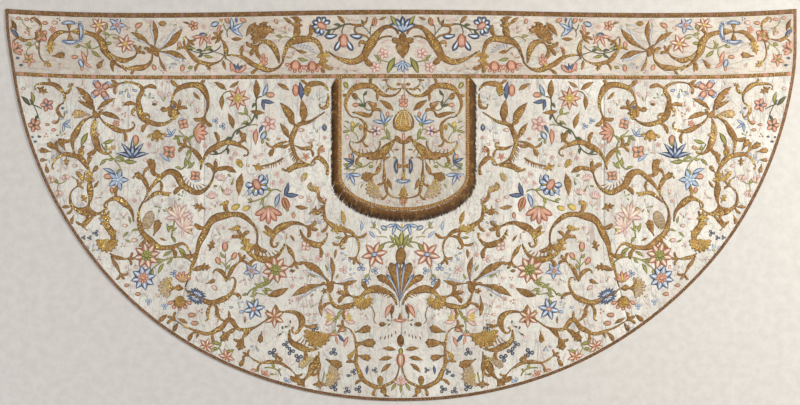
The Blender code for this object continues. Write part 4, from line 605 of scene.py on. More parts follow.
BODY_LOW_MOTIFS = (
    ("daisy", 94.8, 90.4, 0, 9, "coral green"), ("daisy", 95.5, 98.6, 0, 8.4, "blue coral"),
    ("leaf", 82, 88.7, -40, 4, "green"), ("leaf", 87.2, 89.6, 30, 3.6, "green"),
    ("leaf", 89.3, 95, 60, 4, "green"), ("trefoil", 84.5, 97, 0, 2.8, "blue"),
    ("club", 85, 102.4, 0, 5, "gold"), ("shell", 87.8, 101.8, -8, 5.2, "pale"),
    ("tulip", 81, 97.8, -100, 4.8, "coral yellow"), ("dome", 81.5, 108.2, 90, 5.8, "coral spangled"),
    ("leaf", 75.5, 95, 195, 5.4, "gold"), ("crest", 74.7, 103.6, -118, 3.8, "navy frost"),
    ("crest", 76.4, 107, 62, 3.8, "navy frost"), ("bud", 76.8, 112.2, 0, 3, "coral dark"),
    ("bud", 75.6, 115.2, 0, 3, "coral dark"), ("trefoil", 87, 109, -30, 2.6, "sky"),
    ("trefoil", 93, 107.4, -30, 2.6, "sky"), ("bud", 97, 104.5, 0, 2.4, "coral"),
    ("bud", 101.3, 101.3, 0, 2.2, "coral"), ("leaf", 87.6, 113.6, 40, 5, "gold"),
    ("leaf", 82.8, 117, 60, 4.6, "brown"), ("leaf", 77.3, 120.6, 60, 4.6, "gold"),
    ("star6", 71.4, 123.6, 0, 5.8, "coral"), ("bud", 73.8, 124.6, 0, 2.6, "navy"),
    ("star6", 64, 127.6, 30, 5.8, "coral"), ("leaf", 64, 129.6, 10, 3, "navy"),
    ("leaf", 67.6, 122.6, -20, 4, "green"), ("leaf", 63, 125.4, 190, 3.6, "green"),
    ("leaf", 50.4, 82.6, -30, 4.6, "spangled"), ("trio", 3.2, 81, 75, 4.6, "blue"),
    ("bud", 6.9, 80.3, -30, 2.8, "blue"), ("bud", 11, 78, 0, 2, "sky"),
    ("leaf", 15.2, 79.6, -90, 3.6, "sky"), ("leaf", 11, 82.8, -50, 3.4, "sky"),
    ("leaf", 11, 80.2, -10, 1.8, "green"), ("leaf", 0, 84.4, -90, 6, "green"),
    ("leaf", 1.7, 85, -68, 5, "green"), ("leaf", 3.1, 86.8, 20, 3, "green"),
    ("leaf", 7.3, 87.4, 52, 4.6, "green"), ("star6", 9.6, 90, 0, 9, "coral blue"),
    ("trefoil", 9.1, 96, 0, 2.8, "blue"), ("trefoil", 14.2, 94.8, 30, 3.2, "blue"),
    ("trefoil", 12.2, 99.6, 0, 3.2, "blue"), ("palmette", 0, 107, -90, 14.2, "gold blue"),
    ("egg", 0, 90.6, -90, 6.6, "gold yellow"), ("quill", 0, 109.4, -90, 5, "blue navy"),
    ("trefoil", 20.8, 95.6, 0, 3.2, "pink"), ("trefoil", 31.5, 91.6, -60, 3, "pink"),
    ("sprig", 36, 97, -60, 3.6, "pink"), ("trefoil", 22, 103.6, -80, 2.8, "pink"),
    ("leaf", 23.2, 98, 60, 2.2, "green"), ("leaf", 27.8, 95, -70, 2.6, "green"),
    ("leaf", 33.4, 97.8, -30, 2.6, "green"), ("sprig", 33.5, 108, -80, 3.6, "pink"),
    ("bud", 34, 112, 0, 1.8, "pink"), ("ray", 25.4, 100, -88, 9.4, "gold grey"),
    ("ray", 26.8, 100, -36, 13.5, "gold grey"), ("ray", 28.4, 101, 18, 13, "gold grey"),
    ("ray", 29, 105, 88, 8, "gold grey"), ("ray", 24, 100.6, 186, 8.6, "gold grey"),
    ("egg", 25.8, 102, 80, 4.6, "gold brown"), ("rosette", 28.2, 103.4, 0, 2.4, "gold"),
    ("bud", 41, 96, 0, 2, "brown"), ("bud", 40.5, 93.5, 0, 1.8, "yellow"),
    ("daisy", 47.2, 95.6, 0, 9.2, "coral green"), ("star5", 56, 96, 0, 6, "blue coral"),
    ("leaf", 50.5, 99.6, -60, 3.6, "green"), ("leaf", 53, 101.5, -30, 3.4, "green"),
    ("leaf", 49.5, 102.8, 160, 3.4, "green"), ("leaf", 46, 104, -162, 7.6, "gold"),
    ("star6", 54.2, 110, 0, 7.6, "blue coral"), ("egg", 46, 111.2, -60, 3.6, "navy sky"),
    ("star6", 46.6, 113, 20, 7.2, "coral"), ("pair", 41.5, 115.5, -40, 2.4, "dark"),
    ("pair", 44, 118, -20, 2.6, "dark"), ("lobed", 10.8, 107, 95, 5, "spangled"),
    ("shell", 13.6, 108.6, 80, 4.6, "spangled"), ("leaf", 3.7, 110.3, 60, 5.6, "coral"),
    ("leaf", 2.3, 110.3, 72, 4.2, "brown"), ("wing", 0, 112.7, 90, 2.8, "gold coral"),
    ("bud", 6.2, 115.6, 0, 2.8, "brown"), ("sprig", 3.6, 114.2, -20, 2.4, "dark"),
    ("egg", 0, 121.6, -90, 4.6, "brown yellow"), ("leaf", 3.9, 124.6, -10, 4.6, "gold"),
    ("leaf", 5.2, 128.1, 8, 4.8, "gold"), ("leaf", 5.2, 131.4, 38, 4.6, "gold"),
    ("egg", 0, 128.6, -90, 5.6, "coral cream"), ("bud", 0, 125.6, -90, 2.8, "green yellow"),
    ("tulip", 0, 136, -90, 4.2, "pink coral"), ("leaf", 2.4, 138.4, 55, 3.4, "green"),
    ("leaf", 0, 139, 90, 3, "green"), ("club", 13.2, 117.6, 195, 6.6, "gold"),
    ("club", 12.2, 122.4, 178, 7.6, "gold"), ("club", 13.2, 127.6, 165, 5.8, "gold"),
    ("bud", 7.4, 136.2, -90, 3.6, "gold"), ("club", 18, 126.8, 50, 4.6, "spangled"),
    ("crocus", 18, 113, -150, 4.4, "pink yellow"), ("crocus", 26.6, 113, 0, 5, "pink yellow"),
    ("leaf", 22, 111.6, 60, 3, "green"), ("leaf", 24.4, 114.2, 150, 2.6, "green"),
    ("bud", 21, 117.6, 0, 3, "coral"), ("leaf", 21.6, 120.6, 125, 3.6, "navy sky"),
    ("leaf", 24.3, 119.4, -10, 3.8, "coral"), ("leaf", 23.3, 121.4, 100, 3, "coral"),
    ("leaf", 19.8, 121.8, 65, 4, "coral"), ("trefoil", 24.6, 125.8, 20, 3.2, "ink"),
    ("trefoil", 9.4, 132.4, 0, 2.2, "ink"), ("leaf", 12.2, 132.2, 80, 3.2, "navy"),
    ("trefoil", 17.2, 133, 0, 2.4, "ink"), ("bud", 18.9, 134.4, 0, 1.8, "navy"),
    ("trefoil", 15.4, 139.4, 0, 3, "ink"), ("trefoil", 19.6, 140, 40, 2.8, "ink"),
    ("trefoil", 24.4, 138.6, 0, 3.4, "ink"), ("shell", 31, 121.6, 80, 7, "spangled"),
    ("club", 24.2, 129.8, 155, 7.2, "gold"), ("club", 35, 129.6, 30, 7, "pale"),
    ("shell", 24.4, 135, 165, 5.6, "pale"), ("leaf", 37, 139, 0, 3, "coral"),
    ("trefoil", 37.6, 127.8, -40, 3.4, "ink"), ("trefoil", 40.4, 125.4, -60, 3.2, "ink"),
    ("trefoil", 42.2, 123, 0, 2.8, "ink"), ("trefoil", 47, 126, 0, 3.6, "ink"),
    ("star5", 50, 134, 0, 3.8, "coral"), ("bud", 54, 132.6, 0, 2.6, "coral"),
    ("trefoil", 42, 136.4, -60, 3, "sky"), ("pair", 46, 133, -60, 3, "green"),
    ("leaf", 58.4, 130, 60, 4.8, "gold"), ("club", 44.5, 128, 130, 3.4, "gold"),
    ("club", 51.4, 120.4, 80, 4.8, "gold"), ("club", 58.6, 122.4, 70, 6.6, "gold"),
    ("club", 64.4, 119.8, 50, 6, "gold"), ("leaf", 80, 114.4, -30, 4, "gold"),
    ("leaf", 74.4, 119.4, 60, 3, "gold"), ("leaf", 63.2, 112.4, -90, 3.4, "gold"),
    ("club", 70.6, 100, 200, 4, "gold"), ("bud", 69.2, 102.2, -40, 2.6, "pink"),
    ("bud", 66.3, 87.2, -90, 3.8, "coral"), ("bud", 62.8, 90.6, -120, 3.2, "coral"),
    ("bud", 68.5, 92.4, -60, 3.2, "coral"), ("lobed", 71.3, 86.6, -110, 4.6, "gold"),
    ("lobed", 73.2, 94.6, 170, 4.8, "gold"), ("club", 62.8, 80.4, 190, 5, "spangled"),
    ("lobed", 58.4, 86.6, -70, 7.6, "spangled"), ("pair", 61.5, 83.5, 60, 2.6, "pink"),
    ("pair", 65.4, 84.6, -60, 2.6, "pink"), ("pair", 44.6, 82.8, 30, 2.4, "coral"),
    ("leaf", 24.4, 89.6, 80, 3.4, "gold"), ("sprig", 33, 103, -20, 3, "green"),
    ("trefoil", 31.6, 117, -60, 3, "ink"), ("bud", 58.6, 111, 0, 2, "sky"),
    ("bud", 62.6, 109.4, 0, 1.6, "sky"), ("pair", 34.6, 118.2, -30, 2.4, "pink"),
)

# ---- How each motif is made up -------------------------------------------------------------------
# Every part is a tapered blade of stitches: turn from the motif's heading and bend in degrees, length,
# width and start as shares of the motif's size, aim a further turn at the start. tone 0 is the motif's
# main colour and 1 its inner one, left out where a motif has one colour. 2 is green and 3 is cream.

Petal = namedtuple("Petal", "turn length width bend shape tone start aim", defaults=(0, 0.0, 0))
FIXED_TONES = {2: "green", 3: "cream"}
COOL = ("navy", "ink", "blue", "sky", "grey")  # main colours whose cream is frost


def ring(count, length, width, shape, tone=0, start=0.0, first=0.0):
    """Equal petals all round."""
    turns = [first + 360 * k / count for k in range(count)]
    return tuple(Petal(turn, length, width, 0, shape, tone, start) for turn in turns)


def fan(count, half_angle):
    """Even angles from one side of a heading to the other."""
    return [half_angle * (2 * k / (count - 1) - 1) for k in range(count)]


def spread(count, half_angle, length, width, shape, tone=0, start=0.0, droop=0.0):
    """Petals fanned out evenly, each bent outwards in proportion to its angle."""
    return tuple(
        Petal(turn, length * (1 - droop * abs(turn) / 90), width, 0.5 * turn, shape, tone, start)
        for turn in fan(count, half_angle)
    )


def two(petal):
    """The petal and its mirror image."""
    return (petal, petal._replace(turn=-petal.turn, bend=-petal.bend, aim=-petal.aim))


def disc(size, tone=1):
    """A round middle."""
    return (Petal(0, size, size, 0, "round", tone, -size / 2),)


def scallops(count, radius, half_angle, reach, length, width):
    """Round tips along an arc across the heading, which it meets at the reach."""
    tips = []
    for turn in fan(count, half_angle):
        x = reach - radius * (1 - math.cos(math.radians(turn)))
        y = radius * math.sin(math.radians(turn))
        aside = math.degrees(math.atan2(y, x))
        tips.append(Petal(aside, length, width, 0, "round", 1, math.hypot(x, y), turn - aside))
    return tuple(tips)


# behind is how far behind a motif's x and y its foot lies, as a share of its size.
Kind = namedtuple("Kind", "behind petals")
ROOTED = 0.0
CENTRED = 0.5

KINDS = {
    # turned to a heading
    "leaf": Kind(CENTRED, (Petal(0, 1.1, 0.38, 20, "leaf"), Petal(0, 0.78, 0.07, 16, "vein", 1, 0.04))),
    "ray": Kind(
        ROOTED,
        (
            Petal(-3, 1, 0.22, 34, "lance"),
            Petal(9, 0.74, 0.11, 30, "lance", 1, 0.08),
            Petal(-3, 0.86, 0.04, 32, "vein", 0, 0.06),
        ),
    ),
    "frond": Kind(
        ROOTED,
        (Petal(0, 1, 0.26, 36, "acanthus"), Petal(2, 0.84, 0.045, 30, "vein", 1, 0.05)),
    ),
    "lobed": Kind(
        CENTRED,
        (Petal(0, 1, 0.34, 20, "acanthus"),)
        + two(Petal(0, 0.42, 0.19, 70, "petal", 0, 0.22, 48))
        + two(Petal(0, 0.34, 0.16, 80, "petal", 0, 0.52, 42))
        + (Petal(0, 0.85, 0.06, 16, "vein", 1, 0.05),),
    ),
    "fleur": Kind(
        CENTRED,
        two(Petal(0, 0.5, 0.26, 130, "comma", 0, 0.16, 62))
        + two(Petal(0, 0.34, 0.2, 110, "comma", 0, 0.46, 40))
        + (Petal(0, 1, 0.58, 0, "acanthus"), Petal(0, 0.86, 0.06, 0, "vein", 1, 0.06))
        + two(Petal(0, 0.6, 0.05, 30, "vein", 1, 0.14, 20)),
    ),
    "palmette": Kind(
        ROOTED,
        (Petal(0, 0.9, 0.28, 0, "leaf", 0, 0.04),)
        + two(Petal(34, 0.92, 0.2, 62, "plume"))
        + two(Petal(13, 1.02, 0.24, 10, "plume"))
        + two(Petal(24, 0.76, 0.085, 22, "quill", 1, 0.02))
        + two(Petal(6, 1, 0.085, 0, "quill", 1)),
    ),
    "quill": Kind(ROOTED, (Petal(0, 1, 0.16, 4, "quill"), Petal(0, 0.9, 0.05, 4, "vein", 1, 0.03))),
    "pair": Kind(
        CENTRED,
        (Petal(0, 0.6, 0.07, 30, "vein", 2), Petal(38, 0.34, 0.15, 30, "petal", 2, 0.12))
        + spread(2, 48, 0.5, 0.3, "petal", 0, 0.42)
        + (Petal(0, 0.42, 0.28, 0, "petal", 1, 0.5),),
    ),
    "sprig": Kind(
        CENTRED,
        (Petal(0, 0.66, 0.06, -30, "vein", 2), Petal(-40, 0.34, 0.14, -30, "petal", 2, 0.1))
        + spread(3, 62, 0.46, 0.24, "petal", 0, 0.46)
        + (Petal(0, 0.2, 0.2, 0, "round", 1, 0.42),),
    ),
    "bud": Kind(
        CENTRED,
        (Petal(0, 0.9, 0.66, 0, "round", 0, 0.1), Petal(0, 0.5, 0.26, 0, "petal", 1, 0.2))
        + two(Petal(34, 0.42, 0.18, 20, "petal", 2)),
    ),
    "egg": Kind(CENTRED, (Petal(0, 1, 0.6, 0, "round"), Petal(0, 0.8, 0.3, 0, "petal", 1, 0.1))),
    "dots": Kind(ROOTED, ring(3, 0.4, 0.36, "round", 0, 0.15)),
    "tulip": Kind(
        CENTRED,
        spread(5, 52, 0.9, 0.3, "petal", droop=0.2)
        + (Petal(0, 0.6, 0.2, 0, "petal", 1, 0.08),)
        + two(Petal(70, 0.3, 0.12, 40, "petal", 2)),
    ),
    "trio": Kind(
        CENTRED,
        spread(3, 58, 0.96, 0.32, "point", droop=0.1)
        + spread(3, 58, 0.6, 0.06, "vein", 3, 0.2),
    ),
    "harebell": Kind(
        CENTRED,
        spread(5, 54, 0.96, 0.25, "petal", droop=0.1)
        + (Petal(0, 0.3, 0.4, 0, "round", 0, -0.04),),
    ),
    "iris": Kind(
        CENTRED,
        spread(5, 54, 0.96, 0.36, "petal", droop=0.1)
        + spread(5, 54, 0.6, 0.12, "petal", 3, 0.2, 0.1)
        + spread(3, 30, 0.5, 0.26, "petal", 1, 0.02),
    ),
    "crocus": Kind(
        CENTRED,
        two(Petal(46, 0.95, 0.36, -50, "petal"))
        + spread(3, 26, 0.68, 0.24, "point", 1, 0.06)
        + (Petal(0, 0.3, 0.3, 0, "round"),),
    ),
    "bloom": Kind(
        CENTRED,
        spread(4, 80, 0.62, 0.3, "petal", 0, 0.32)
        + spread(4, 80, 0.44, 0.15, "petal", 3, 0.4)
        + (Petal(0, 0.66, 0.5, 0, "bell", 1), Petal(0, 0.46, 0.08, 0, "vein", 3, 0.08)),
    ),
    "frill": Kind(
        ROOTED,
        spread(7, 120, 0.36, 0.3, "petal", 0, 0.18)
        + spread(7, 120, 0.24, 0.15, "petal", 3, 0.18)
        + (Petal(0, 0.56, 0.44, 0, "round", 1, -0.28), Petal(0, 0.46, 0.09, 0, "vein", 3, -0.24))
        + two(Petal(60, 0.2, 0.14, 0, "petal", 2, 0.2)),
    ),
    "dome": Kind(
        CENTRED,
        spread(5, 56, 0.42, 0.26, "petal", 0, 0.5)
        + spread(4, 42, 0.2, 0.1, "petal", 3, 0.56)
        + (Petal(0, 0.74, 0.8, 0, "bell", 1, -0.02), Petal(0, 0.5, 0.07, 0, "vein", 0, 0.12)),
    ),
    "vase": Kind(
        CENTRED,
        (Petal(0, 1, 1, 0, "bell"), Petal(0, 0.9, 0.12, 0, "vein", 1, 0.04))
        + two(Petal(26, 0.88, 0.15, -46, "petal", 1, 0.03))
        + two(Petal(12, 0.84, 0.07, -20, "vein", 3, 0.03))
        + two(Petal(38, 0.8, 0.06, -62, "vein", 3, 0.04)),
    ),
    "cup": Kind(
        CENTRED,
        two(Petal(52, 0.92, 0.46, -40, "petal"))
        + (Petal(0, 0.9, 0.26, 0, "petal", 1),),
    ),
    "lily": Kind(
        CENTRED,
        spread(5, 70, 0.98, 0.26, "point", droop=0.2)
        + spread(5, 70, 0.7, 0.06, "vein", 3, 0.2)
        + spread(3, 34, 0.5, 0.18, "petal", 1, 0.06)
        + (Petal(0, 0.26, 0.24, 0, "round", 0, -0.02),),
    ),
    "lotus": Kind(
        CENTRED,
        spread(5, 74, 0.9, 0.27, "point", droop=0.25)
        + spread(4, 40, 0.72, 0.2, "petal", 1)
        + (Petal(0, 0.92, 0.24, 0, "point"),),
    ),
    "wing": Kind(
        CENTRED,
        (Petal(0, 0.9, 0.62, 0, "wedge"), Petal(0, 0.7, 0.06, 0, "vein", 0, 0.1))
        + scallops(8, 1.3, 33, 1.05, 0.27, 0.23)
        + (Petal(-41, 1.53, 0.42, 70, "round", 1, 1.09, 121),)
        + (Petal(-31, 1.09, 0.14, 52, "petal", 3, 1.02, 113),),
    ),
    "crest": Kind(
        CENTRED,
        spread(9, 82, 0.58, 0.22, "petal", 0, 0.1, -0.7)
        + spread(5, 56, 0.24, 0.13, "petal", 1, 0.16, -0.7),
    ),
    "shell": Kind(
        CENTRED,
        spread(9, 76, 0.92, 0.26, "plume", droop=0.2)
        + (Petal(0, 0.36, 0.34, 0, "round", 1, -0.05),),
    ),
    "club": Kind(
        CENTRED,
        two(Petal(0, 0.26, 0.13, -90, "petal", 0, 0.7, 70))
        + (Petal(0, 0.92, 0.42, 16, "pear"), Petal(3, 0.62, 0.05, 16, "vein", 1, 0.2)),
    ),
    "cone": Kind(
        CENTRED,
        tuple(
            Petal(turn, 0.42, 0.3, 0, "round", 0, start)
            for start, turn in ((0, -50), (0, 50), (0.05, 0), (0.3, -24), (0.3, 24), (0.55, 0))
        ),
    ),
    # alike all round
    "rosette": Kind(
        ROOTED,
        ring(5, 0.5, 0.36, "round")
        + ring(5, 0.2, 0.1, "petal", 1, 0.12, 36)
        + disc(0.22),
    ),
    "rosette4": Kind(
        ROOTED,
        ring(4, 0.52, 0.44, "round", 0, 0, 40)
        + ring(4, 0.5, 0.07, "vein", 2, 0, -5)
        + disc(0.2),
    ),
    "trefoil": Kind(
        ROOTED,
        ring(3, 0.5, 0.46, "petal", 0, 0.02)
        + ring(3, 0.22, 0.12, "petal", 3, 0.16),
    ),
    "star": Kind(
        ROOTED,
        ring(8, 0.55, 0.24, "point")
        + ring(8, 0.3, 0.05, "vein", 3, 0.14)
        + ring(8, 0.22, 0.1, "point", 1, 0.04, 22.5)
        + disc(0.24),
    ),
    "star6": Kind(
        ROOTED,
        ring(6, 0.56, 0.29, "point", 0, 0, 12)
        + ring(6, 0.36, 0.12, "petal", 3, 0.1, 12)
        + disc(0.25),
    ),
    "star5": Kind(
        ROOTED,
        ring(5, 0.56, 0.3, "point", 0, 0, 20)
        + ring(5, 0.28, 0.1, "petal", 1, 0.03, 56)
        + disc(0.18),
    ),
    "star4": Kind(ROOTED, ring(4, 0.55, 0.3, "petal", 0, 0, 20) + disc(0.2)),
    "daisy": Kind(
        ROOTED,
        ring(8, 0.56, 0.34, "point", 0, 0, 12)
        + ring(8, 0.34, 0.11, "petal", 3, 0.15, 12)
        + ring(8, 0.26, 0.16, "point", 1, 0.02, 34)
        + disc(0.24),
    ),
    "grape": Kind(
        ROOTED,
        ring(4, 0.3, 0.36, "round", 1, 0.27, 35)
        + ring(4, 0.38, 0.36, "round", 0, 0.08, 35)
        + ring(4, 0.1, 0.05, "petal", 3, 0.2, 35)
        + disc(0.14, 0),
    ),
}

# Width of a blade along its length: pairs of place and width, both as shares.
SHAPES = {
    "leaf": ((0, 0.06), (0.12, 0.42), (0.36, 1), (0.62, 0.86), (0.85, 0.4), (1, 0.02)),
    "vein": ((0, 0.6), (0.5, 1), (1, 0.1)),
    "lance": ((0, 0.16), (0.22, 0.3), (0.42, 0.84), (0.58, 1), (0.78, 0.72), (0.92, 0.3), (1, 0.02)),
    "pear": ((0, 0.16), (0.22, 0.26), (0.42, 0.72), (0.64, 1), (0.82, 0.88), (0.94, 0.5), (1, 0.2)),
    "plume": (
        (0, 0.16), (0.3, 0.36), (0.5, 0.74), (0.58, 0.68), (0.78, 1), (0.9, 0.96), (0.97, 0.6),
        (1, 0.2),
    ),
    "quill": ((0, 0.3), (0.5, 0.6), (0.86, 1), (0.95, 0.96), (1, 0.3)),
    "bell": (
        (0, 0.22), (0.07, 0.38), (0.2, 0.72), (0.42, 0.95), (0.62, 1), (0.82, 0.92), (0.95, 0.62),
        (1, 0.2),
    ),
    "comma": ((0, 0.3), (0.2, 0.56), (0.5, 0.84), (0.72, 1), (0.88, 0.88), (0.96, 0.56), (1, 0.2)),
    "wedge": ((0, 0.1), (0.3, 0.4), (0.86, 1), (0.96, 0.92), (1, 0.6)),
    "petal": ((0, 0.3), (0.25, 0.72), (0.58, 1), (0.82, 0.82), (0.94, 0.48), (1, 0.06)),
    "point": ((0, 0.4), (0.28, 0.85), (0.5, 1), (0.78, 0.55), (1, 0.02)),
    "round": ((0, 0.12), (0.08, 0.55), (0.25, 0.86), (0.5, 1), (0.75, 0.86), (0.92, 0.55), (1, 0.12)),
    "acanthus": (
        (0, 0.16), (0.12, 0.5), (0.19, 0.44), (0.34, 0.96), (0.42, 0.78), (0.56, 1),
        (0.65, 0.72), (0.76, 0.74), (0.86, 0.4), (1, 0.02),
    ),
    "tongue": (
        (0, 0.3), (0.2, 0.4), (0.44, 0.66), (0.5, 0.6), (0.7, 1), (0.8, 0.78), (0.93, 0.72), (1, 0.12),
    ),
    "stem": (
        (0, 0.26), (0.1, 0.46), (0.26, 0.88), (0.42, 1.3), (0.56, 1.22), (0.72, 0.82), (0.88, 0.46),
        (1, 0.18),
    ),
}

# ---- Threads -------------------------------------------------------------------------------------

Thread = namedtuple("Thread", "kind edge fill heart height")

# A thread's edge colour darkens a blade's rim and tip: on gold it is painted shade on the sides and ends
# of the padded scrolls; on silk it is outline stitching, darkened further as painted shade.
THREADS = {
    "gold": Thread("gold", "#381F08", "#A0743A", "#7C5426", 1.1),
    "spangled": Thread("gold", "#563610", "#BC9248", "#987032", 1.1),
    "pale": Thread("gold", "#94785A", "#C4AE90", "#A88E6C", 0.9),
    "rose": Thread("gold", "#8A6048", "#BE9A80", "#A47C62", 1.0),
    "brown": Thread("gold", "#361F0B", "#7A5228", "#5E3C1A", 0.9),
    "coral": Thread("silk", "#94492F", "#D6A488", "#B46E4C", 0.7),
    "pink": Thread("silk", "#B47C78", "#E4CCC2", "#CC9890", 0.6),
    "cream": Thread("silk", "#C4A284", "#F0E6D4", "#DEC4A2", 0.6),
    "yellow": Thread("silk", "#A98A3A", "#DCC268", "#C4A046", 0.7),
    "blue": Thread("silk", "#1B3058", "#B2C4D8", "#54769F", 0.7),
    "sky": Thread("silk", "#506C96", "#BCCAD8", "#7E98BC", 0.6),
    "navy": Thread("silk", "#101A32", "#52688E", "#24365A", 0.7),
    "ink": Thread("silk", "#0E1420", "#5C6678", "#252E3E", 0.7),
    "green": Thread("silk", "#4A4A1C", "#A09C48", "#74722E", 0.6),
    "dark": Thread("silk", "#262C14", "#545A30", "#3A4020", 0.6),
    "frost": Thread("silk", "#86A0C2", "#E2E9EC", "#B8C8D6", 0.6),
    "grey": Thread("silk", "#8890A0", "#CDCFD2", "#A6AEBC", 0.4),
}

OUTLINED = (-1.0, -0.62, -0.46, 0.0, 0.46, 0.62, 1.0)  # places across a broad blade
PLAIN = (-1.0, -0.55, 0.0, 0.55, 1.0)  # and across a narrow one
BROAD = {"gold": 0.0045, "silk": 0.0024}  # half width from which a blade is outlined
RIM = {"gold": (0.62, 1.0), "silk": (0.46, 0.62)}  # where a broad blade's rim begins and is full
PLAIN_RIM = (0.3, 0.9)  # the same across a narrow one
PLAIN_RIM_SHARE = 0.85  # and how dark it gets there
TIP = {"gold": 0.88, "silk": 0.74}  # along a blade, where its tip begins to darken: painted shade on gold, outline on silk
HEART = 0.45  # where its heart's colour has gone
HEIGHT_LIMIT = 0.42  # height of a narrow blade, as a share of its half width
STITCH_ROOT = -0.00025  # a blade's edges lie this far under the cloth's surface
LAYER = 0.00012  # each further layer of stitches lies this much higher
SUNK = 0.0008  # under trim, stitches lie this much lower
TONE_SPREAD = 0.1
STATIONS = 8  # sections of a blade
SHAPE_STATIONS = {"vein": 5, "acanthus": 14}  # where they are more or fewer
LONG_BLADE = 0.06  # blades longer than this have
MORE_STATIONS = 4
BEND_MIDDLE = 0.35  # place at which a bent line runs along its heading

SCROLL_SHARE = 0.83  # breadth of a scroll's band of stitches, as a share of its padded ridge
WAVER = 0.2  # how far a scroll's edges wander, as a share of its width
WAVER_PITCH = 1.15  # and how slowly, in half widths
LEAF_SPAN = 6.6  # widths of scroll for each leaf that springs from it
LEAF_RUN = (0.2, 0.6)  # where the leaves start along it, and over what share of it they spread
LEAF_LENGTH = 4.7  # in widths of the scroll
LEAF_LIMIT = 0.075
LEAF_SIZES = (0.85, 1.1)
LEAF_LEAN = 26
LEAF_BEND = 128
LOBE = (80, 0.3, 0.4)  # a leaf's lobe: turn, length in leaves, width in scrolls
TENDRIL_FROM = 0.015  # scrolls broader than this have tendrils
TENDRIL = (-35, 0.8, 230)  # turn, length in leaves, and curl
TENDRIL_STEPS = 12
TENDRIL_HALF_WIDTH = 0.0011
# Turn, length and bend of the leaves at an open end:
TUFT = ((-40, 2.5, -100), (38, 2.7, 100), (2, 2.5, 36))
TUFT_WIDTH = 0.8
JOINED = 1.2  # an end this many widths from another scroll is joined to it
EYE = 0.62  # length of the knot inside a volute, in widths of the scroll
EYE_BREADTH = 0.45  # its half width, as a share of that
SCROLL_SPANGLES = (0.4, 0.0066)  # half width of their band in widths of the scroll, and pitch

SPRAY_LEAF_PITCH = 0.042
SPRAY_LEAF = (0.03, 0.4)  # length, and width as a share of it
SPRAY_LEAF_SIZES = (0.75, 1.1)
SPRAY_LEAF_TURN = 42
SPRAY_LEAF_BEND = -35
COMB_STEP = 0.004
FINGER_HALF_WIDTH = 0.0025

SPANGLE_RADIUS = 0.0021
SPANGLE_SIDES = 6
SPANGLE_COLOUR = "#F8DA84"
SPANGLE_TONES = (0.6, 1.35)
SPANGLE_LIFT = 0.0016
SPANGLE_DOME = 0.0001
SPANGLE_TILT = 0.16
SPANGLE_PITCH = 0.0055
SPANGLE_RUN = (0.08, 0.95)  # the part of a blade's length that they lie on
SPANGLE_SPREAD = 0.7  # and of its half width
SPANGLE_PATCHES = (0.36, 0.8, 45)  # how thick they lie, how much that varies, and its wave number
SPANGLED = ("spangled", "pale", "rose")  # threads with spangles over them

CURL_RADIUS = 0.014  # first radius of the volute of a stem CURL_WIDTH wide
CURL_WIDTH = 0.02
CURL_SHRINK = 0.20  # how fast the volute tightens, per radian
CURL_STEP = 9  # degrees between its points
LINE_STEP = 0.006  # spacing of sections along a scroll
CURVE_STEPS = 16  # points of a curve between two knots

chance = random.Random(1700)


# ---- The garment's lines, for arrays or single numbers -------------------------------------------


def ease(value, low, high):
    """0 below low, 1 above high and smooth between them."""
    t = np.clip((value - low) / (high - low), 0.0, 1.0)
    return t * t * (3 - 2 * t)


def from_top(depth):
    """Y of a point that lies depth below the straight edge's corners."""
    return DEPTH / 2 - depth


def depth_of(y):
    """How far below the straight edge's corners Y lies."""
    return DEPTH / 2 - y


def lean(depth):
    """How far to the right a point at this depth lies, because the cope is askew."""
    start, full, fade, end = LEAN_DEPTHS
    return LEAN * ease(depth, start, full) * (1 - ease(depth, fade, end))


def own_lean(x, y):
    """How much further to the right the needlework lies than the cloth under it."""
    depth = depth_of(y)
    middle = np.interp(depth, *zip(*DESIGN_AXIS)) * CM - lean(depth)
    return middle * (1 - ease(np.abs(x), *AXIS_REACH))


def edge_y(x):
    u = np.abs(x) / HALF_WIDTH
    sag = EDGE_SAG * (1 - u**5) - NECK_RISE * np.exp(-((u / NECK_SPREAD) ** 2))
    return from_top(np.maximum(sag, 0.0))


def band_seam_y(x):
    u = np.abs(x) / HALF_WIDTH
    rise = ORPHREY_RISE * np.exp(-((u / NECK_SPREAD) ** 2))
    return from_top(ORPHREY_WIDTH + ORPHREY_SAG * (1 - u**6) - rise)


def hem_y(x):
    share = np.minimum(np.abs(x) / HALF_WIDTH, 1.0)
    return from_top(DEPTH * (1 - share**HEM_POWER) ** (1 / HEM_POWER))


def hem_x(y):
    share = np.clip(depth_of(y) / DEPTH, 0.0, 1.0)
    return HALF_WIDTH * (1 - share**HEM_POWER) ** (1 / HEM_POWER)


def hem_reach(x, y):
    """1 on the hem and less inside it."""
    u = np.abs(x) / HALF_WIDTH
    v = np.clip(depth_of(y) / DEPTH, 0.0, None)
    return (u**HEM_POWER + v**HEM_POWER) ** (1 / HEM_POWER)


def side_seam_x(y):
    return LOOM_WIDTH + SEAM_SLANT * np.maximum(0.0, depth_of(y) - SEAM_BEND_DEPTH)


def hem_angle(x):
    """Angle at which hem_point gives this x."""
    return math.acos(math.copysign(min(1.0, (abs(x) / HALF_WIDTH) ** (HEM_POWER / 2)), x))


def hem_point(angle, inset=0.0):
    """Point of the hem at an angle from 0, the right corner, to pi, the left one, moved in by inset."""
    c, s = math.cos(angle), max(math.sin(angle), 0.0)
    x = HALF_WIDTH * math.copysign(abs(c) ** (2 / HEM_POWER), c)
    y = from_top(DEPTH * s ** (2 / HEM_POWER))
    nx = math.copysign(abs(x / HALF_WIDTH) ** (HEM_POWER - 1), c) / HALF_WIDTH
    ny = -((depth_of(y) / DEPTH) ** (HEM_POWER - 1)) / DEPTH
    size = math.hypot(nx, ny)
    return (x - inset * nx / size, y - inset * ny / size)


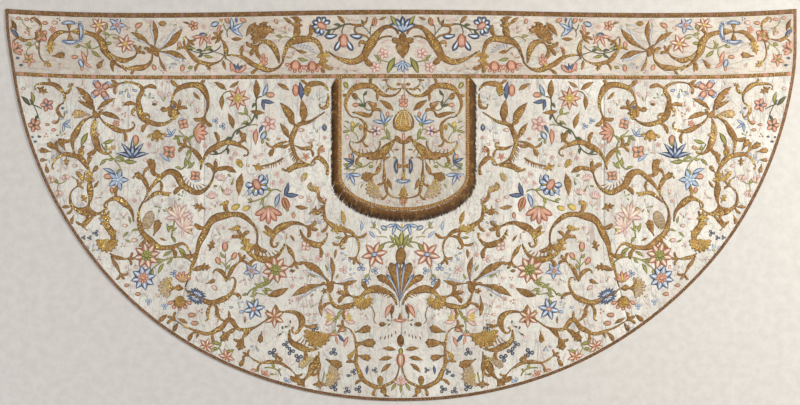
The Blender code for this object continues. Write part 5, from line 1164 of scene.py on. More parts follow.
def hood_point(t, outset=0.0):
    """Point of the hood's outline and its outward normal. t runs over the left side from 0 to 1, over
    the round end from 1 to 2, and over the right side from 2 to 3."""
    top = float(band_seam_y(HOOD_HALF_WIDTH)) - BAND_GALLOON / 2 - GAP
    turn = from_top(HOOD_STRAIGHT_END)
    if t <= 1:
        point, normal = (-HOOD_HALF_WIDTH, top + (turn - top) * t), (-1.0, 0.0)
    elif t >= 2:
        point, normal = (HOOD_HALF_WIDTH, turn + (top - turn) * (t - 2)), (1.0, 0.0)
    else:
        a = math.pi * (t - 1)
        point = (-HOOD_HALF_WIDTH * math.cos(a), turn - HOOD_ROUND * math.sin(a))
        nx, ny = -math.cos(a) / HOOD_HALF_WIDTH, -math.sin(a) / HOOD_ROUND
        normal = (nx / math.hypot(nx, ny), ny / math.hypot(nx, ny))
    return (point[0] + outset * normal[0], point[1] + outset * normal[1]), normal


def hood_clearance(x, y):
    """How far a point lies outside the hood, roughly, and negative inside it."""
    turn = from_top(HOOD_STRAIGHT_END)
    reach = np.hypot(x / HOOD_HALF_WIDTH, (y - turn) / HOOD_ROUND)
    return np.where(y >= turn, np.abs(x) - HOOD_HALF_WIDTH, (reach - 1) * HOOD_ROUND)


# ---- Relief of the cloth -------------------------------------------------------------------------


def crease_relief(x, y):
    """Height of the upright creases of the body silk."""
    total = np.zeros_like(x)
    for c in CREASES:
        top, bottom = from_top(c.top * CM), from_top(c.bottom * CM)
        line = c.x * CM + CREASE_SWAY * np.sin(2 * math.pi * (y - top) / CREASE_WAVE + c.x)
        share = np.clip(1 - np.abs(x - line) / (c.half_width * MM), 0.0, 1.0)
        along = np.clip((y - bottom) / (top - bottom), 0.0, 1.0)
        swell = np.sin(math.pi * along) ** 0.6
        total = np.maximum(total, c.height * MM * swell * share * share * (3 - 2 * share))
    return total


def clear_of_trim(section, x, y):
    """1 where the silk is bare, falling to 0 under the trim that lies on it."""
    half = BAND_GALLOON / 2
    to_hem = np.minimum(hem_x(y) - np.abs(x), y - hem_y(x)) - HEM_GALLOON
    if section == "orphrey":
        away = np.minimum(edge_y(x) - y - EDGE_GALLOON, to_hem)
        away = np.minimum(away, y - band_seam_y(x) - half)
    elif section == "hood":
        away = -hood_clearance(x, y) - HOOD_GALLOON
        away = np.minimum(away, band_seam_y(x) - half - y)
    else:
        above, run = FRINGE_TURN
        hang = ease(from_top(HOOD_STRAIGHT_END - above) - y, 0.0, run)
        to_fringe = hood_clearance(x, y) - FRINGE_BESIDE - (FRINGE_BELOW - FRINGE_BESIDE) * hang
        away = np.minimum(np.minimum(to_hem, band_seam_y(x) - half - y), to_fringe)
    return ease(away, 0.0, TRIM_FADE)


def kept_in(section, x, y):
    """World Y drawn back under the trim that bounds a section above and below."""
    seam = band_seam_y(x)
    if section == "orphrey":
        return np.clip(y, seam, edge_y(x) - EDGE_GALLOON / 2)
    return np.minimum(y, seam)


def ripple(section, x, y):
    """Unevenness of the silk, whose waves run their own way in each section."""
    height = RIPPLE[section]
    if section == "hood":
        return height * np.sin(x * 95 + 3 * np.sin(y * 17)) * np.sin(y * 23 + 2)
    if section == "orphrey":
        return height * np.sin(y * 120 + 2 * np.sin(x * 7) + x * 9) * np.sin(x * 11 + 1.3)
    return height * np.sin(x * 105 + 2.5 * np.sin(y * 6.3)) * np.sin(y * 9 + x * 14)


def ground(section, x, y):
    """Height of the silk's outer face, and how bare of trim it is there."""
    bare = clear_of_trim(section, x, y)
    uneven = ripple(section, x, y)
    if section == "hood":
        rise = HOOD_PILLOW * ease(-hood_clearance(x, y), HOOD_GALLOON, HOOD_PILLOW_REACH)
        return 2 * WALL + GAP + (rise + uneven) * bare, bare
    if section == "body":
        height = WALL + (SILK_RISE[section] + crease_relief(x, y) + uneven) * bare
        seams = (0.0, side_seam_x(y))
    else:
        height = WALL + (SILK_RISE[section] + uneven) * bare
        seams = (0.0,)
    dips = [np.exp(-(((np.abs(x) - seam) / SEAM_SPREAD) ** 2)) for seam in seams]
    return height - SEAM_DIP * bare * np.maximum.reduce(dips), bare


# ---- Lines in the flat ---------------------------------------------------------------------------


def even_steps(start, stop, step):
    return np.linspace(start, stop, max(1, round(abs(stop - start) / step)) + 1)


def distance_along(line):
    """How far along a line each of its points lies."""
    return np.concatenate(([0.0], np.cumsum(np.linalg.norm(np.diff(line, axis=0), axis=1))))


def resampled(line, step):
    """The same line with points at even distances."""
    line = np.asarray(line, float)
    reach = distance_along(line)
    marks = np.linspace(0.0, reach[-1], max(3, round(reach[-1] / step)) + 1)
    return np.stack((np.interp(marks, reach, line[:, 0]), np.interp(marks, reach, line[:, 1])), axis=1)


def lean_of_place(x, y):
    """How far to the right a place lies, in metres from cm, because of the lean of cloth and design."""
    return lean(y * CM) + own_lean(x * CM, from_top(y * CM))


def placed(x, y):
    """A place of the design in metres, from cm. Off the axis, x in the tables includes the lean."""
    shift = lean_of_place(x, y) if x else 0.0
    return (float(x * CM - shift), y * CM)


def spline(knots):
    """A smooth curve through knots given in cm, in metres."""
    knots = np.array([placed(x, y) for x, y in knots])
    if len(knots) == 2:
        return knots
    slopes = (knots[2:] - knots[:-2]) / 2
    first = 2 * (knots[1] - knots[0]) - slopes[0]
    last = 2 * (knots[-1] - knots[-2]) - slopes[-1]
    slopes = np.vstack((first, slopes, last))
    t = np.linspace(0, 1, CURVE_STEPS, endpoint=False)[:, None]
    h00, h10 = 2 * t**3 - 3 * t**2 + 1, t**3 - 2 * t**2 + t
    h01, h11 = 3 * t**2 - 2 * t**3, t**3 - t**2
    runs = [
        knots[i] * h00 + slopes[i] * h10 + knots[i + 1] * h01 + slopes[i + 1] * h11
        for i in range(len(knots) - 1)
    ]
    return np.vstack(runs + [knots[-1:]])


def towards(heading):
    """Unit vector of a heading in degrees."""
    return np.array((math.cos(math.radians(heading)), math.sin(math.radians(heading))))


def heading_of(way):
    """Heading of a vector in degrees."""
    return math.degrees(math.atan2(way[1], way[0]))


def volute(line, curl, width):
    """Points that carry a line on into a spiral, which tightens as it turns. curl is in radians."""
    heading = line[-1] - line[-2]
    angle = math.atan2(heading[1], heading[0])
    steps = max(1, math.ceil(abs(curl) / math.radians(CURL_STEP)))
    turn = curl / steps
    radius = CURL_RADIUS * width / CURL_WIDTH
    at = line[-1]
    points = []
    for _ in range(steps if curl else 0):
        angle += turn
        at = at + np.array((math.cos(angle), math.sin(angle))) * radius * abs(turn)
        radius *= math.exp(-CURL_SHRINK * abs(turn))
        points.append(at)
    return np.array(points).reshape(-1, 2)


def bent_line(x, y, heading, length, bend, count):
    """A line of this length from a point, turning evenly by bend about the heading, in degrees."""
    t = (np.arange(count) + 0.5) / count
    angles = np.radians(heading + bend * (t - BEND_MIDDLE))
    steps = np.stack((np.cos(angles), np.sin(angles)), axis=1) * length / count
    return np.vstack(((0.0, 0.0), np.cumsum(steps, axis=0))) + (x, y)


# ---- Meshes --------------------------------------------------------------------------------------


def mesh_of(name, points, faces, smooth=None):
    """A mesh that is smooth all over, or where the list smooth says so for each face."""
    mesh = bpy.data.meshes.new(name)
    mesh.from_pydata(np.asarray(points).tolist(), [], faces)
    mesh.polygons.foreach_set("use_smooth", smooth or [True] * len(faces))
    return mesh


def put_places(mesh, places):
    """UV map in metres: along the piece and across it."""
    corners = np.empty(len(mesh.loops), dtype=np.int32)
    mesh.loops.foreach_get("vertex_index", corners)
    mesh.uv_layers.new(name="place").data.foreach_set("uv", np.asarray(places)[corners].ravel())


def put_colours(mesh, colours):
    layer = mesh.color_attributes.new(name="tone", type="FLOAT_COLOR", domain="POINT")
    layer.data.foreach_set("color", np.column_stack((colours, np.ones(len(colours)))).ravel())


def laid_askew(piece):
    """Moves a finished piece of the cope to the right by the lean of each place."""
    spots = np.empty(len(piece.data.vertices) * 3)
    piece.data.vertices.foreach_get("co", spots)
    spots = spots.reshape(-1, 3)
    spots[:, 0] += lean(depth_of(spots[:, 1]))
    piece.data.vertices.foreach_set("co", spots.ravel())
    return piece


def make_object(name, mesh, material):
    obj = bpy.data.objects.new(name, mesh)
    bpy.context.scene.collection.objects.link(obj)
    mesh.materials.append(material)
    return obj


def grid_quads(rows, columns):
    """Faces between the points of a grid, which are numbered row by row."""
    first = np.arange((rows - 1) * columns).reshape(rows - 1, columns)[:, :-1].ravel()
    return np.stack((first, first + columns, first + columns + 1, first + 1), axis=1)


# ---- Stitches ------------------------------------------------------------------------------------


def linear(code):
    """Linear colour of a hexadecimal sRGB code."""
    values = [int(code[i : i + 2], 16) / 255 for i in (1, 3, 5)]
    return np.array([v / 12.92 if v <= 0.04045 else ((v + 0.055) / 1.055) ** 2.4 for v in values])


class Stitches:
    """Blades of stitches gathered for one mesh."""

    def __init__(self, name, section):
        self.name = name
        self.section = section
        self.points, self.lifts, self.places, self.colours, self.faces = [], [], [], [], []
        self.count = 0

    def add(self, side, flat, lift, place, colour, faces):
        """flat is in the design's measure: across from the centre line and down from the corners."""
        world = np.stack((flat[..., 0] * side, from_top(flat[..., 1])), axis=-1).reshape(-1, 2)
        self.points.append(world)
        self.lifts.append(lift.reshape(-1))
        self.places.append(place.reshape(-1, 2))
        self.colours.append(colour.reshape(-1, 3))
        self.faces.append((faces if side < 0 else faces[:, ::-1]) + self.count)
        self.count += len(world)

    def build(self, material):
        points = np.concatenate(self.points)
        lifts = np.concatenate(self.lifts)
        pull = np.minimum(HEM_KEEP / hem_reach(*points.T), 1.0)
        points[:, 0] *= pull
        points[:, 1] = from_top(depth_of(points[:, 1]) * pull)
        points[:, 0] += own_lean(*points.T)
        points[:, 1] = kept_in(self.section, *points.T)
        height, bare = ground(self.section, *points.T)
        z = height + lifts * bare - SUNK * (1 - bare)
        mesh = mesh_of(self.name, np.column_stack((points, z)), np.concatenate(self.faces).tolist())
        put_places(mesh, np.concatenate(self.places))
        put_colours(mesh, np.concatenate(self.colours))
        return laid_askew(make_object(self.name, mesh, material))


class Work(namedtuple("Work", "gold silk spangles")):
    """The stitches of one half of a section."""

    def of(self, thread):
        """Where blades of this thread belong."""
        return self.gold if THREADS[thread].kind == "gold" else self.silk


def blade(stitches, side, line, half_widths, thread, layer, waver=0.0):
    """A raised ribbon of stitches along a line, crowned in the middle, dark at its edges and tip:
    painted shade on gold, and outline stitches partly darkened as painted shade on silk.
    """
    kind, *codes, height = THREADS[thread]
    edge, fill, heart = (linear(code) for code in codes)
    along = np.gradient(line, axis=0)
    along /= np.maximum(np.linalg.norm(along, axis=1), 1e-9)[:, None]
    across = np.stack((-along[:, 1], along[:, 0]), axis=1)
    widest = half_widths.max()
    broad = widest > BROAD[kind]
    s = np.array(OUTLINED if broad else PLAIN)
    reach = distance_along(line)
    widths = np.repeat(half_widths[:, None], len(s), axis=1)
    if waver:
        phase = reach / (WAVER_PITCH * widest)
        widths = widths * (1 + waver * np.sin(phase)[:, None] * (s < 0))
        widths = widths * (1 + waver * np.sin(phase + 2)[:, None] * (s > 0))
    offsets = s[None] * widths
    flat = line[:, None] + across[:, None] * offsets[..., None]
    crown = np.sqrt(np.clip(1 - s**2, 0, 1))
    height = np.minimum(height * MM, HEIGHT_LIMIT * half_widths)
    lift = layer * LAYER + STITCH_ROOT + (height[:, None] - STITCH_ROOT) * crown[None]
    t = reach / reach[-1]
    # The rim and the tip take the edge colour: painted shade on gold, outline partly darkened as painted
    # shade on silk.
    rim = ease(np.abs(s), *RIM[kind]) if broad else PLAIN_RIM_SHARE * ease(np.abs(s), *PLAIN_RIM)
    dark = np.maximum(rim[None], ease(t, TIP[kind], 1.0)[:, None])
    near_root = (1 - ease(t, 0.0, HEART))[:, None, None]
    fill = fill + (heart - fill) * near_root
    colour = fill + (edge - fill) * dark[..., None]
    colour = colour * (1 + chance.uniform(-TONE_SPREAD, TONE_SPREAD))
    place = np.stack((np.broadcast_to(reach[:, None], offsets.shape), offsets), axis=-1)
    stitches.add(side, flat, lift, place, colour, grid_quads(len(line), len(s)))


def shape_widths(shape, count, half_width):
    """Half widths of a blade at count even stations."""
    places, widths = zip(*SHAPES[shape])
    return half_width * np.interp(np.linspace(0, 1, count), places, widths)


def blade_stations(shape, length):
    return SHAPE_STATIONS.get(shape, STATIONS) + (MORE_STATIONS if length > LONG_BLADE else 0)


def springing(line, i):
    """Heading of a line at a station, in degrees, and the side on which it bulges, 1 for left."""
    i = min(max(i, 2), len(line) - 3)
    before, after = line[i] - line[i - 2], line[i + 2] - line[i]
    turn = before[0] * after[1] - before[1] * after[0]
    return heading_of(line[i + 1] - line[i - 1]), -1 if turn > 0 else 1


def stitch_leaf(stitches, side, at, heading, length, bend, width, shape, layer=1):
    """A bent leaf of gold from a point; gives its middle line."""
    count = blade_stations(shape, length)
    line = bent_line(*at, heading, length, bend, count - 1)
    blade(stitches, side, line, shape_widths(shape, count, width / 2), "gold", layer)
    return line


def scroll_line(stem):
    line = spline(stem.knots)
    curled = np.vstack((line, volute(line, math.radians(stem.curl), stem.width * CM)))
    return resampled(curled, LINE_STEP)


def is_free(spot, width, lines, own):
    """Whether no other scroll, nor its mirror image, is near an end."""
    if spot[0] < width:
        return False
    others = [line for k, line in enumerate(lines) if k != own]
    return all(np.hypot(*(line - spot).T).min() > JOINED * width for line in others)


def stitch_tuft(work, side, spot, heading, width):
    """Leaves at the open end of a scroll."""
    for turn, length, bend in TUFT:
        stitch_leaf(
            work.gold, side, spot, heading + turn, length * width, bend, TUFT_WIDTH * width, "comma", 3
        )


def stitch_scroll_leaf(work, side, line, i, width):
    """A curled leaf on the outer side of a scroll's bend, its lobe, and a tendril on a broad scroll."""
    at = line[i]
    heading, hand = springing(line, i)
    size = min(LEAF_LENGTH * width, LEAF_LIMIT) * chance.uniform(*LEAF_SIZES)
    bend = LEAF_BEND * hand
    leaf = stitch_leaf(work.gold, side, at, heading + LEAF_LEAN * hand, size, bend, width, "tongue")
    turn, length, breadth = LOBE
    middle = leaf[len(leaf) // 2]
    stitch_leaf(
        work.gold, side, middle, heading + turn * hand, length * size, bend, breadth * width, "petal"
    )
    if width > TENDRIL_FROM:
        turn, length, curl = TENDRIL
        tendril = bent_line(*at, heading + turn * hand, length * size, -curl * hand, TENDRIL_STEPS)
        widths = shape_widths("vein", TENDRIL_STEPS + 1, TENDRIL_HALF_WIDTH)
        blade(work.gold, side, tendril, widths, "rose", 0)


def stitch_stem(work, side, stem, lines, own):
    """A gold scroll with its volute or open ends, the leaves that spring from it and its spangles."""
    width = SCROLL_SHARE * stem.width * CM
    line = lines[own]
    leaves = int(distance_along(line)[-1] / (LEAF_SPAN * width))
    first, run = LEAF_RUN
    for k in range(leaves):
        share = first + run * (k + 0.5) / leaves
        stitch_scroll_leaf(work, side, line, int(share * (len(line) - 1)), width)
    blade(work.gold, side, line, shape_widths("stem", len(line), width / 2), "gold", 2, WAVER)
    if is_free(line[0], width, lines, own):
        stitch_tuft(work, side, line[1], springing(line, 0)[0] + 180, width)
    if stem.curl:
        knot = bent_line(*(line[-1] - (0.5 * EYE * width, 0)), 0, EYE * width, 0, STATIONS)
        widths = shape_widths("round", STATIONS + 1, EYE_BREADTH * EYE * width)
        blade(work.gold, side, knot, widths, "spangled", 3)
    elif is_free(line[-1], width, lines, own):
        stitch_tuft(work, side, line[-2], springing(line, len(line))[0], width)
    share, pitch = SCROLL_SPANGLES
    scatter_spangles(work, side, line, share * width, pitch)


def spangle(stitches, side, at):
    """A small flat disc, tilted a little."""
    angles = np.arange(SPANGLE_SIDES) * 2 * math.pi / SPANGLE_SIDES
    rim = np.stack((np.cos(angles), np.sin(angles)), axis=1) * SPANGLE_RADIUS
    way = chance.uniform(0, 2 * math.pi)
    tilt = SPANGLE_TILT * (rim[:, 0] * math.cos(way) + rim[:, 1] * math.sin(way))
    flat = np.vstack((at, at + rim))
    lifts = np.concatenate(([SPANGLE_LIFT + SPANGLE_DOME], SPANGLE_LIFT + tilt))
    colour = linear(SPANGLE_COLOUR)[None] * chance.uniform(*SPANGLE_TONES)
    index = np.arange(SPANGLE_SIDES)
    fans = np.stack((np.zeros_like(index), index + 1, (index + 1) % SPANGLE_SIDES + 1), axis=1)
    stitches.add(side, flat, lifts, flat - at, np.repeat(colour, SPANGLE_SIDES + 1, axis=0), fans)


def scatter_spangles(work, side, line, half_width, pitch=SPANGLE_PITCH):
    """Spangles in patches over a band, about one to a square of the pitch where they are thick."""
    length = distance_along(line)[-1]
    patch = chance.uniform(0, 2 * math.pi)
    thickness, swing, wave = SPANGLE_PATCHES
    for _ in range(int(length * 2 * half_width / pitch**2)):
        share = chance.uniform(*SPANGLE_RUN)
        if chance.random() > thickness + swing * math.sin(patch + share * length * wave):
            continue
        i = min(int(share * (len(line) - 1)), len(line) - 2)
        way = line[i + 1] - line[i]
        across = np.array((-way[1], way[0])) / max(float(np.linalg.norm(way)), 1e-9)
        aside = chance.uniform(-SPANGLE_SPREAD, SPANGLE_SPREAD)
        spangle(work.spangles, side, line[i] + across * aside * half_width)


def stitch_motif(work, side, motif):
    """A motif's petals, with spangles over those of the brighter golds."""
    names = motif.colours.split()
    size = motif.size * CM
    kind = KINDS[motif.kind]
    foot = np.array(placed(motif.x, motif.y)) - towards(motif.heading) * size * kind.behind
    for layer, petal in enumerate(kind.petals, 2):
        if petal.tone == 1 and len(names) == 1:
            continue
        thread = FIXED_TONES.get(petal.tone) or names[petal.tone]
        if thread == "cream" and names[0] in COOL:
            thread = "frost"
        turn = motif.heading + petal.turn * motif.flip
        start = foot + towards(turn) * petal.start * size
        count = blade_stations(petal.shape, petal.length * size)
        aim = turn + petal.aim * motif.flip
        line = bent_line(*start, aim, petal.length * size, petal.bend * motif.flip, count - 1)
        half_width = petal.width * size / 2
        widths = shape_widths(petal.shape, count, half_width)
        blade(work.of(thread), side, line, widths, thread, layer)
        if thread in SPANGLED:
            scatter_spangles(work, side, line, half_width)


def stitch_spray(work, side, spray):
    """A thin stem, and leaves by turns on either side of it where it is green."""
    line = resampled(spline(spray.knots), LINE_STEP)
    swell = 0.5 + 0.35 * np.sin(np.linspace(0.4, math.pi - 0.3, len(line)))
    blade(work.of(spray.colour), side, line, spray.width * CM / 2 * swell, spray.colour, 1)
    if spray.colour not in ("green", "dark"):
        return
    length, share = SPRAY_LEAF
    widths = shape_widths("leaf", STATIONS + 2, length * share / 2)
    every = round(SPRAY_LEAF_PITCH / LINE_STEP)
    for k, i in enumerate(range(every - 1, len(line) - 1, every)):
        hand = 1 if k % 2 else -1
        heading = springing(line, i)[0] + SPRAY_LEAF_TURN * hand
        size = length * chance.uniform(*SPRAY_LEAF_SIZES)
        leaf = bent_line(*line[i], heading, size, SPRAY_LEAF_BEND * hand, STATIONS + 1)
        blade(work.silk, side, leaf, widths, spray.colour, 2)


def stitch_comb(work, side, comb):
    """Fingers along a curve, longest in its middle."""
    line = resampled(spline(comb.knots), COMB_STEP)
    widths = shape_widths("point", STATIONS + 1, FINGER_HALF_WIDTH)
    for k in range(comb.count):
        share = (k + 0.5) / comb.count
        i = min(int(share * (len(line) - 1)), len(line) - 2)
        heading = heading_of(line[i + 1] - line[i]) + comb.lean
        size = comb.length * CM * (0.75 + 0.25 * math.sin(math.pi * (k + 0.5) / comb.count))
        finger = bent_line(*line[i], heading, size, 0.5 * comb.lean, STATIONS)
        blade(work.of(comb.colour), side, finger, widths, comb.colour, 1)


# ---- Small motifs in the gaps --------------------------------------------------------------------

Filler = namedtuple("Filler", "kind colours low high")

FILLERS = (
    Filler("sprig", "pink cream", 2.6, 3.6),
    Filler("pair", "pink", 2.4, 3.2),
    Filler("sprig", "sky cream", 2.4, 3.4),
    Filler("rosette", "pink coral", 1.8, 2.4),
    Filler("bud", "pink cream", 1.3, 2.0),
    Filler("sprig", "green", 2.2, 3.0),
    Filler("leaf", "gold pale", 2.2, 3.2),
    Filler("pair", "blue cream", 2.2, 3.0),
    Filler("dots", "coral", 1.5, 2.0),
    Filler("sprig", "grey", 2.4, 3.4),
)
FILLER_START = (1.5, 2.0)  # first place tried, in cm across and down
FILLER_PITCH = 2.3  # cm between the places tried
FILLER_JITTER = 0.8  # cm that each is moved by at most, either way
FILLER_CLEARANCE = 0.55  # cm left free round a small motif
SCROLL_COVER = 0.9  # cm taken up on each side of a scroll's line
SPRAY_COVER = 0.7  # and of a spray's or comb's
MOTIF_COVER = 0.42  # share of a motif's size taken up round its place
BARE_ENOUGH = 0.9  # least value of clear_of_trim at a small motif's edge


def covered_spots(lines, sprays, combs, rows):
    """Rows of x, y and radius in cm that cover all that the tables hold."""
    spots = [(x / CM, y / CM, SCROLL_COVER) for line in lines for x, y in line[::2]]
    for row in list(sprays) + list(combs):
        spots += [(x / CM, y / CM, SPRAY_COVER) for x, y in resampled(spline(row.knots), 0.01)]
    for motif in rows:
        x, y = np.array(placed(motif.x, motif.y)) / CM
        spots.append((x, y, MOTIF_COVER * motif.size))
    return np.array(spots)


def fillers(section, lines, sprays, combs, rows):
    """Motifs at jittered places of a lattice, wherever the design leaves room."""
    covered = covered_spots(lines, sprays, combs, rows)
    made = []
    first_x, first_y = FILLER_START
    for depth in np.arange(first_y, DEPTH / CM, FILLER_PITCH):
        for across in np.arange(first_x, HALF_WIDTH / CM, FILLER_PITCH):
            x = across + chance.uniform(-FILLER_JITTER, FILLER_JITTER)
            y = depth + chance.uniform(-FILLER_JITTER, FILLER_JITTER)
            sort = chance.choice(FILLERS)
            size = chance.uniform(sort.low, sort.high)
            turn = chance.uniform(0, 360)
            half = size / 2 * CM
            rim = [
                clear_of_trim(section, x * CM + dx, from_top(y * CM + dy))
                for dx, dy in ((half, 0), (-half, 0), (0, half), (0, -half))
            ]
            away = np.hypot(covered[:, 0] - x, covered[:, 1] - y) - covered[:, 2]
            if min(rim) < BARE_ENOUGH or x < size / 2 or away.min() < size / 2 + FILLER_CLEARANCE:
                continue
            covered = np.vstack((covered, (x, y, size / 2)))
            shift = float(lean_of_place(x, y)) / CM
            made.append(Motif(sort.kind, x + shift, y, turn, size, sort.colours))
    return made


# ---- Cloth ---------------------------------------------------------------------------------------


def inside(outline, points):
    """Which points lie inside a closed outline."""
    x, y = points[:, 0], points[:, 1]
    within = np.zeros(len(points), dtype=bool)
    for (ax, ay), (bx, by) in zip(outline, np.roll(outline, -1, axis=0)):
        if ay != by:
            crosses = (ay > y) != (by > y)
            within ^= crosses & (x < ax + (y - ay) * (bx - ax) / (by - ay))
    return within


def without_long_edges(outline):
    """The outline with points added so that no edge is much longer than OUTLINE_STEP."""
    points = []
    for a, b in zip(outline, outline[1:] + outline[:1]):
        count = max(1, round(math.dist(a, b) / OUTLINE_STEP))
        dx, dy = b[0] - a[0], b[1] - a[1]
        points += [(a[0] + dx * k / count, a[1] + dy * k / count) for k in range(count)]
    return np.array(points)


def lattice(outline):
    """Staggered points inside an outline, none of them very near it."""
    low, high = outline.min(axis=0), outline.max(axis=0)
    rows = np.arange(low[1], high[1], MESH_STEP * ROW_SHARE)
    x, y = np.meshgrid(np.arange(low[0], high[0], MESH_STEP), rows)
    x = x + (np.arange(len(rows)) % 2)[:, None] * MESH_STEP / 2
    grid = np.stack((x.ravel(), y.ravel()), axis=1)
    grid = grid[inside(outline, grid)]
    near = np.zeros(len(grid), dtype=bool)
    for mark in np.concatenate((outline, (outline + np.roll(outline, -1, axis=0)) / 2)):
        near |= np.hypot(grid[:, 0] - mark[0], grid[:, 1] - mark[1]) < MESH_STEP * RIM_CLEARANCE
    return grid[~near]


def cloth_panel(name, section, outline, base, material):
    """A closed sheet over outline, its outer face in relief and its underside flat."""
    outline = without_long_edges(outline)
    rim = len(outline)
    loop = [(i, (i + 1) % rim) for i in range(rim)]
    coords = [Vector(p) for p in np.concatenate((outline, lattice(outline)))]
    upper, _, tops, upper_origins, _, _ = delaunay_2d_cdt(coords, loop, [], 1, 1e-6)
    lower, _, bottoms, lower_origins, _, _ = delaunay_2d_cdt(coords[:rim], loop, [], 1, 1e-6)
    upper = np.array([tuple(p) for p in upper])
    upper = np.column_stack((upper, ground(section, *upper.T)[0]))
    lower = np.column_stack(([tuple(p) for p in lower], np.full(len(lower), base)))
    head = {s: i for i, sources in enumerate(upper_origins) for s in sources if s < rim}
    foot = {s: len(upper) + i for i, sources in enumerate(lower_origins) for s in sources if s < rim}
    faces = [list(t) for t in tops]
    faces += [[len(upper) + v for v in reversed(t)] for t in bottoms]
    faces += [[foot[i], foot[j], head[j], head[i]] for i, j in loop]
    smooth = [k < len(tops) for k in range(len(faces))]
    mesh = mesh_of(name, np.vstack((upper, lower)), faces, smooth)
    piece = laid_askew(make_object(name, mesh, material))
    ends = np.roll(outline, -1, axis=0)
    piece["flat"] = [float(size) for size in outline.max(axis=0) - outline.min(axis=0)]
    piece["area"] = float(abs(np.sum(outline[:, 0] * ends[:, 1] - ends[:, 0] * outline[:, 1])) / 2)
    return piece


def corner_x():
    """x at which the band's seam meets the hem."""
    x = HALF_WIDTH
    for _ in range(20):
        x = float(hem_x(band_seam_y(x)))
    return x


def seam_foot_x():
    """x at which the side seam meets the hem."""
    x = LOOM_WIDTH
    for _ in range(40):
        x = float(side_seam_x(hem_y(x)))
    return x


def hem_between(x_start, x_stop):
    """Points of the hem's right half between two x."""
    a, b = hem_angle(x_start), hem_angle(x_stop)
    points = [hem_point(a + (b - a) * i / HEM_SAMPLES) for i in range(HEM_SAMPLES + 1)]
    return resampled(points, OUTLINE_STEP).tolist()


def along_x(height_at, start, stop, offset=0.0):
    """Points of a line whose height is given for each x, moved up by offset."""
    return [(float(x), float(height_at(x) + offset)) for x in even_steps(start, stop, OUTLINE_STEP)]


def side_seam(start, stop, offset):
    """Points of the side seam between two world Y, moved outwards by offset."""
    return [(float(side_seam_x(y)) + offset, float(y)) for y in even_steps(start, stop, OUTLINE_STEP)]


def orphrey_outline():
    side = hem_between(HALF_WIDTH, corner_x())[1:-1]
    seam = along_x(band_seam_y, corner_x(), GAP / 2, GAP / 2)
    return along_x(edge_y, GAP / 2, HALF_WIDTH) + side + seam


def centre_outline():
    foot = seam_foot_x()
    top = along_x(band_seam_y, GAP / 2, LOOM_WIDTH - GAP / 2, -GAP / 2)
    seam = side_seam(top[-1][1], hem_y(foot), -GAP / 2)
    return top + seam[1:-1] + hem_between(foot - GAP / 2, GAP / 2)


def side_outline():
    foot = seam_foot_x()
    top = along_x(band_seam_y, LOOM_WIDTH + GAP / 2, corner_x(), -GAP / 2)
    seam = side_seam(hem_y(foot), top[0][1], GAP / 2)
    return top + hem_between(corner_x(), foot + GAP / 2)[1:] + seam[1:-1]


def hood_outline():
    line = [hood_point(t)[0] for t in np.linspace(3, 1.5, 240)]
    line = resampled(line, OUTLINE_STEP).tolist()
    top = [(float(x), line[0][1]) for x in even_steps(GAP / 2, HOOD_HALF_WIDTH, OUTLINE_STEP)]
    line[-1][0] = GAP / 2
    return top + line[1:]


def turned(outline, side):
    """The outline counter-clockwise, on its own side of the centre line."""
    if side < 0:
        return [(-x, y) for x, y in outline]
    return list(reversed(outline))


# ---- Trim ----------------------------------------------------------------------------------------

# Places across one half of a galloon, and heights there.
GALLOON_PROFILE = ((0.0, 0.0005), (0.06, 0.0010), (0.14, 0.0007), (0.32, 0.0009), (0.5, 0.0011))
TRIM_STEP = 0.005
END_SLANT = 1.15  # the band's galloon stops this many widths of the hem's galloon from the hem


def galloon(name, outer, inner, base, material):
    """A woven band between two lines, with a cord along each side."""
    outer, inner = np.array(outer), np.array(inner)
    reach = distance_along((outer + inner) / 2)
    profile = list(GALLOON_PROFILE) + [(1 - p, h) for p, h in reversed(GALLOON_PROFILE[:-1])]
    profile += [(1.0, 0.0), (0.0, 0.0)]
    columns = len(profile)
    points, places = [], []
    for a, b, along in zip(outer, inner, reach):
        width = float(np.linalg.norm(a - b))
        for share, height in profile:
            points.append((*(a + (b - a) * share), base + height))
            places.append((along, (share - 0.5) * width))
    faces = []
    last = len(points) - columns
    for low in range(0, last, columns):
        for k in range(columns):
            n = (k + 1) % columns
            faces.append((low + k, low + n, low + columns + n, low + columns + k))
    faces += [tuple(range(columns))[::-1], tuple(range(last, len(points)))]
    mesh = mesh_of(name, points, faces)
    put_places(mesh, places)
    return laid_askew(make_object(name, mesh, material))


STRAND_PITCH = 0.00072
STRAND_SPREAD = 0.62  # how far the strands lean outwards as they hang
STRAND_STRAY = 0.05  # and how far they stray from that
STRAND_START = 0.008  # furthest that one starts outside the hood
STRAND_LENGTH = (0.033, 0.0375)
STRAND_HALF_WIDTH = (0.0007, 0.0011)
STRAND_TONE = (0.7, 1.3)
STRAND_DRIFT = 0.0009
STRAND_SECTIONS = 6
STRAND_TAPER = 0.35
STRAND_ARCH = 0.0011
STRAND_LOW = 0.0002  # least height of a root over the body silk
STRAND_REST = 0.0003  # height that the strands sink towards,
STRAND_SINK = 0.6  # and the share of their own that they have lost at the tip
STRAND_FADE = 0.55  # power by which the colour changes along a strand
STRAND_COLOURS = ("#94642A", "#301A06")  # root and tip; the dark tip colour is painted shade towards the fringe's outer edge
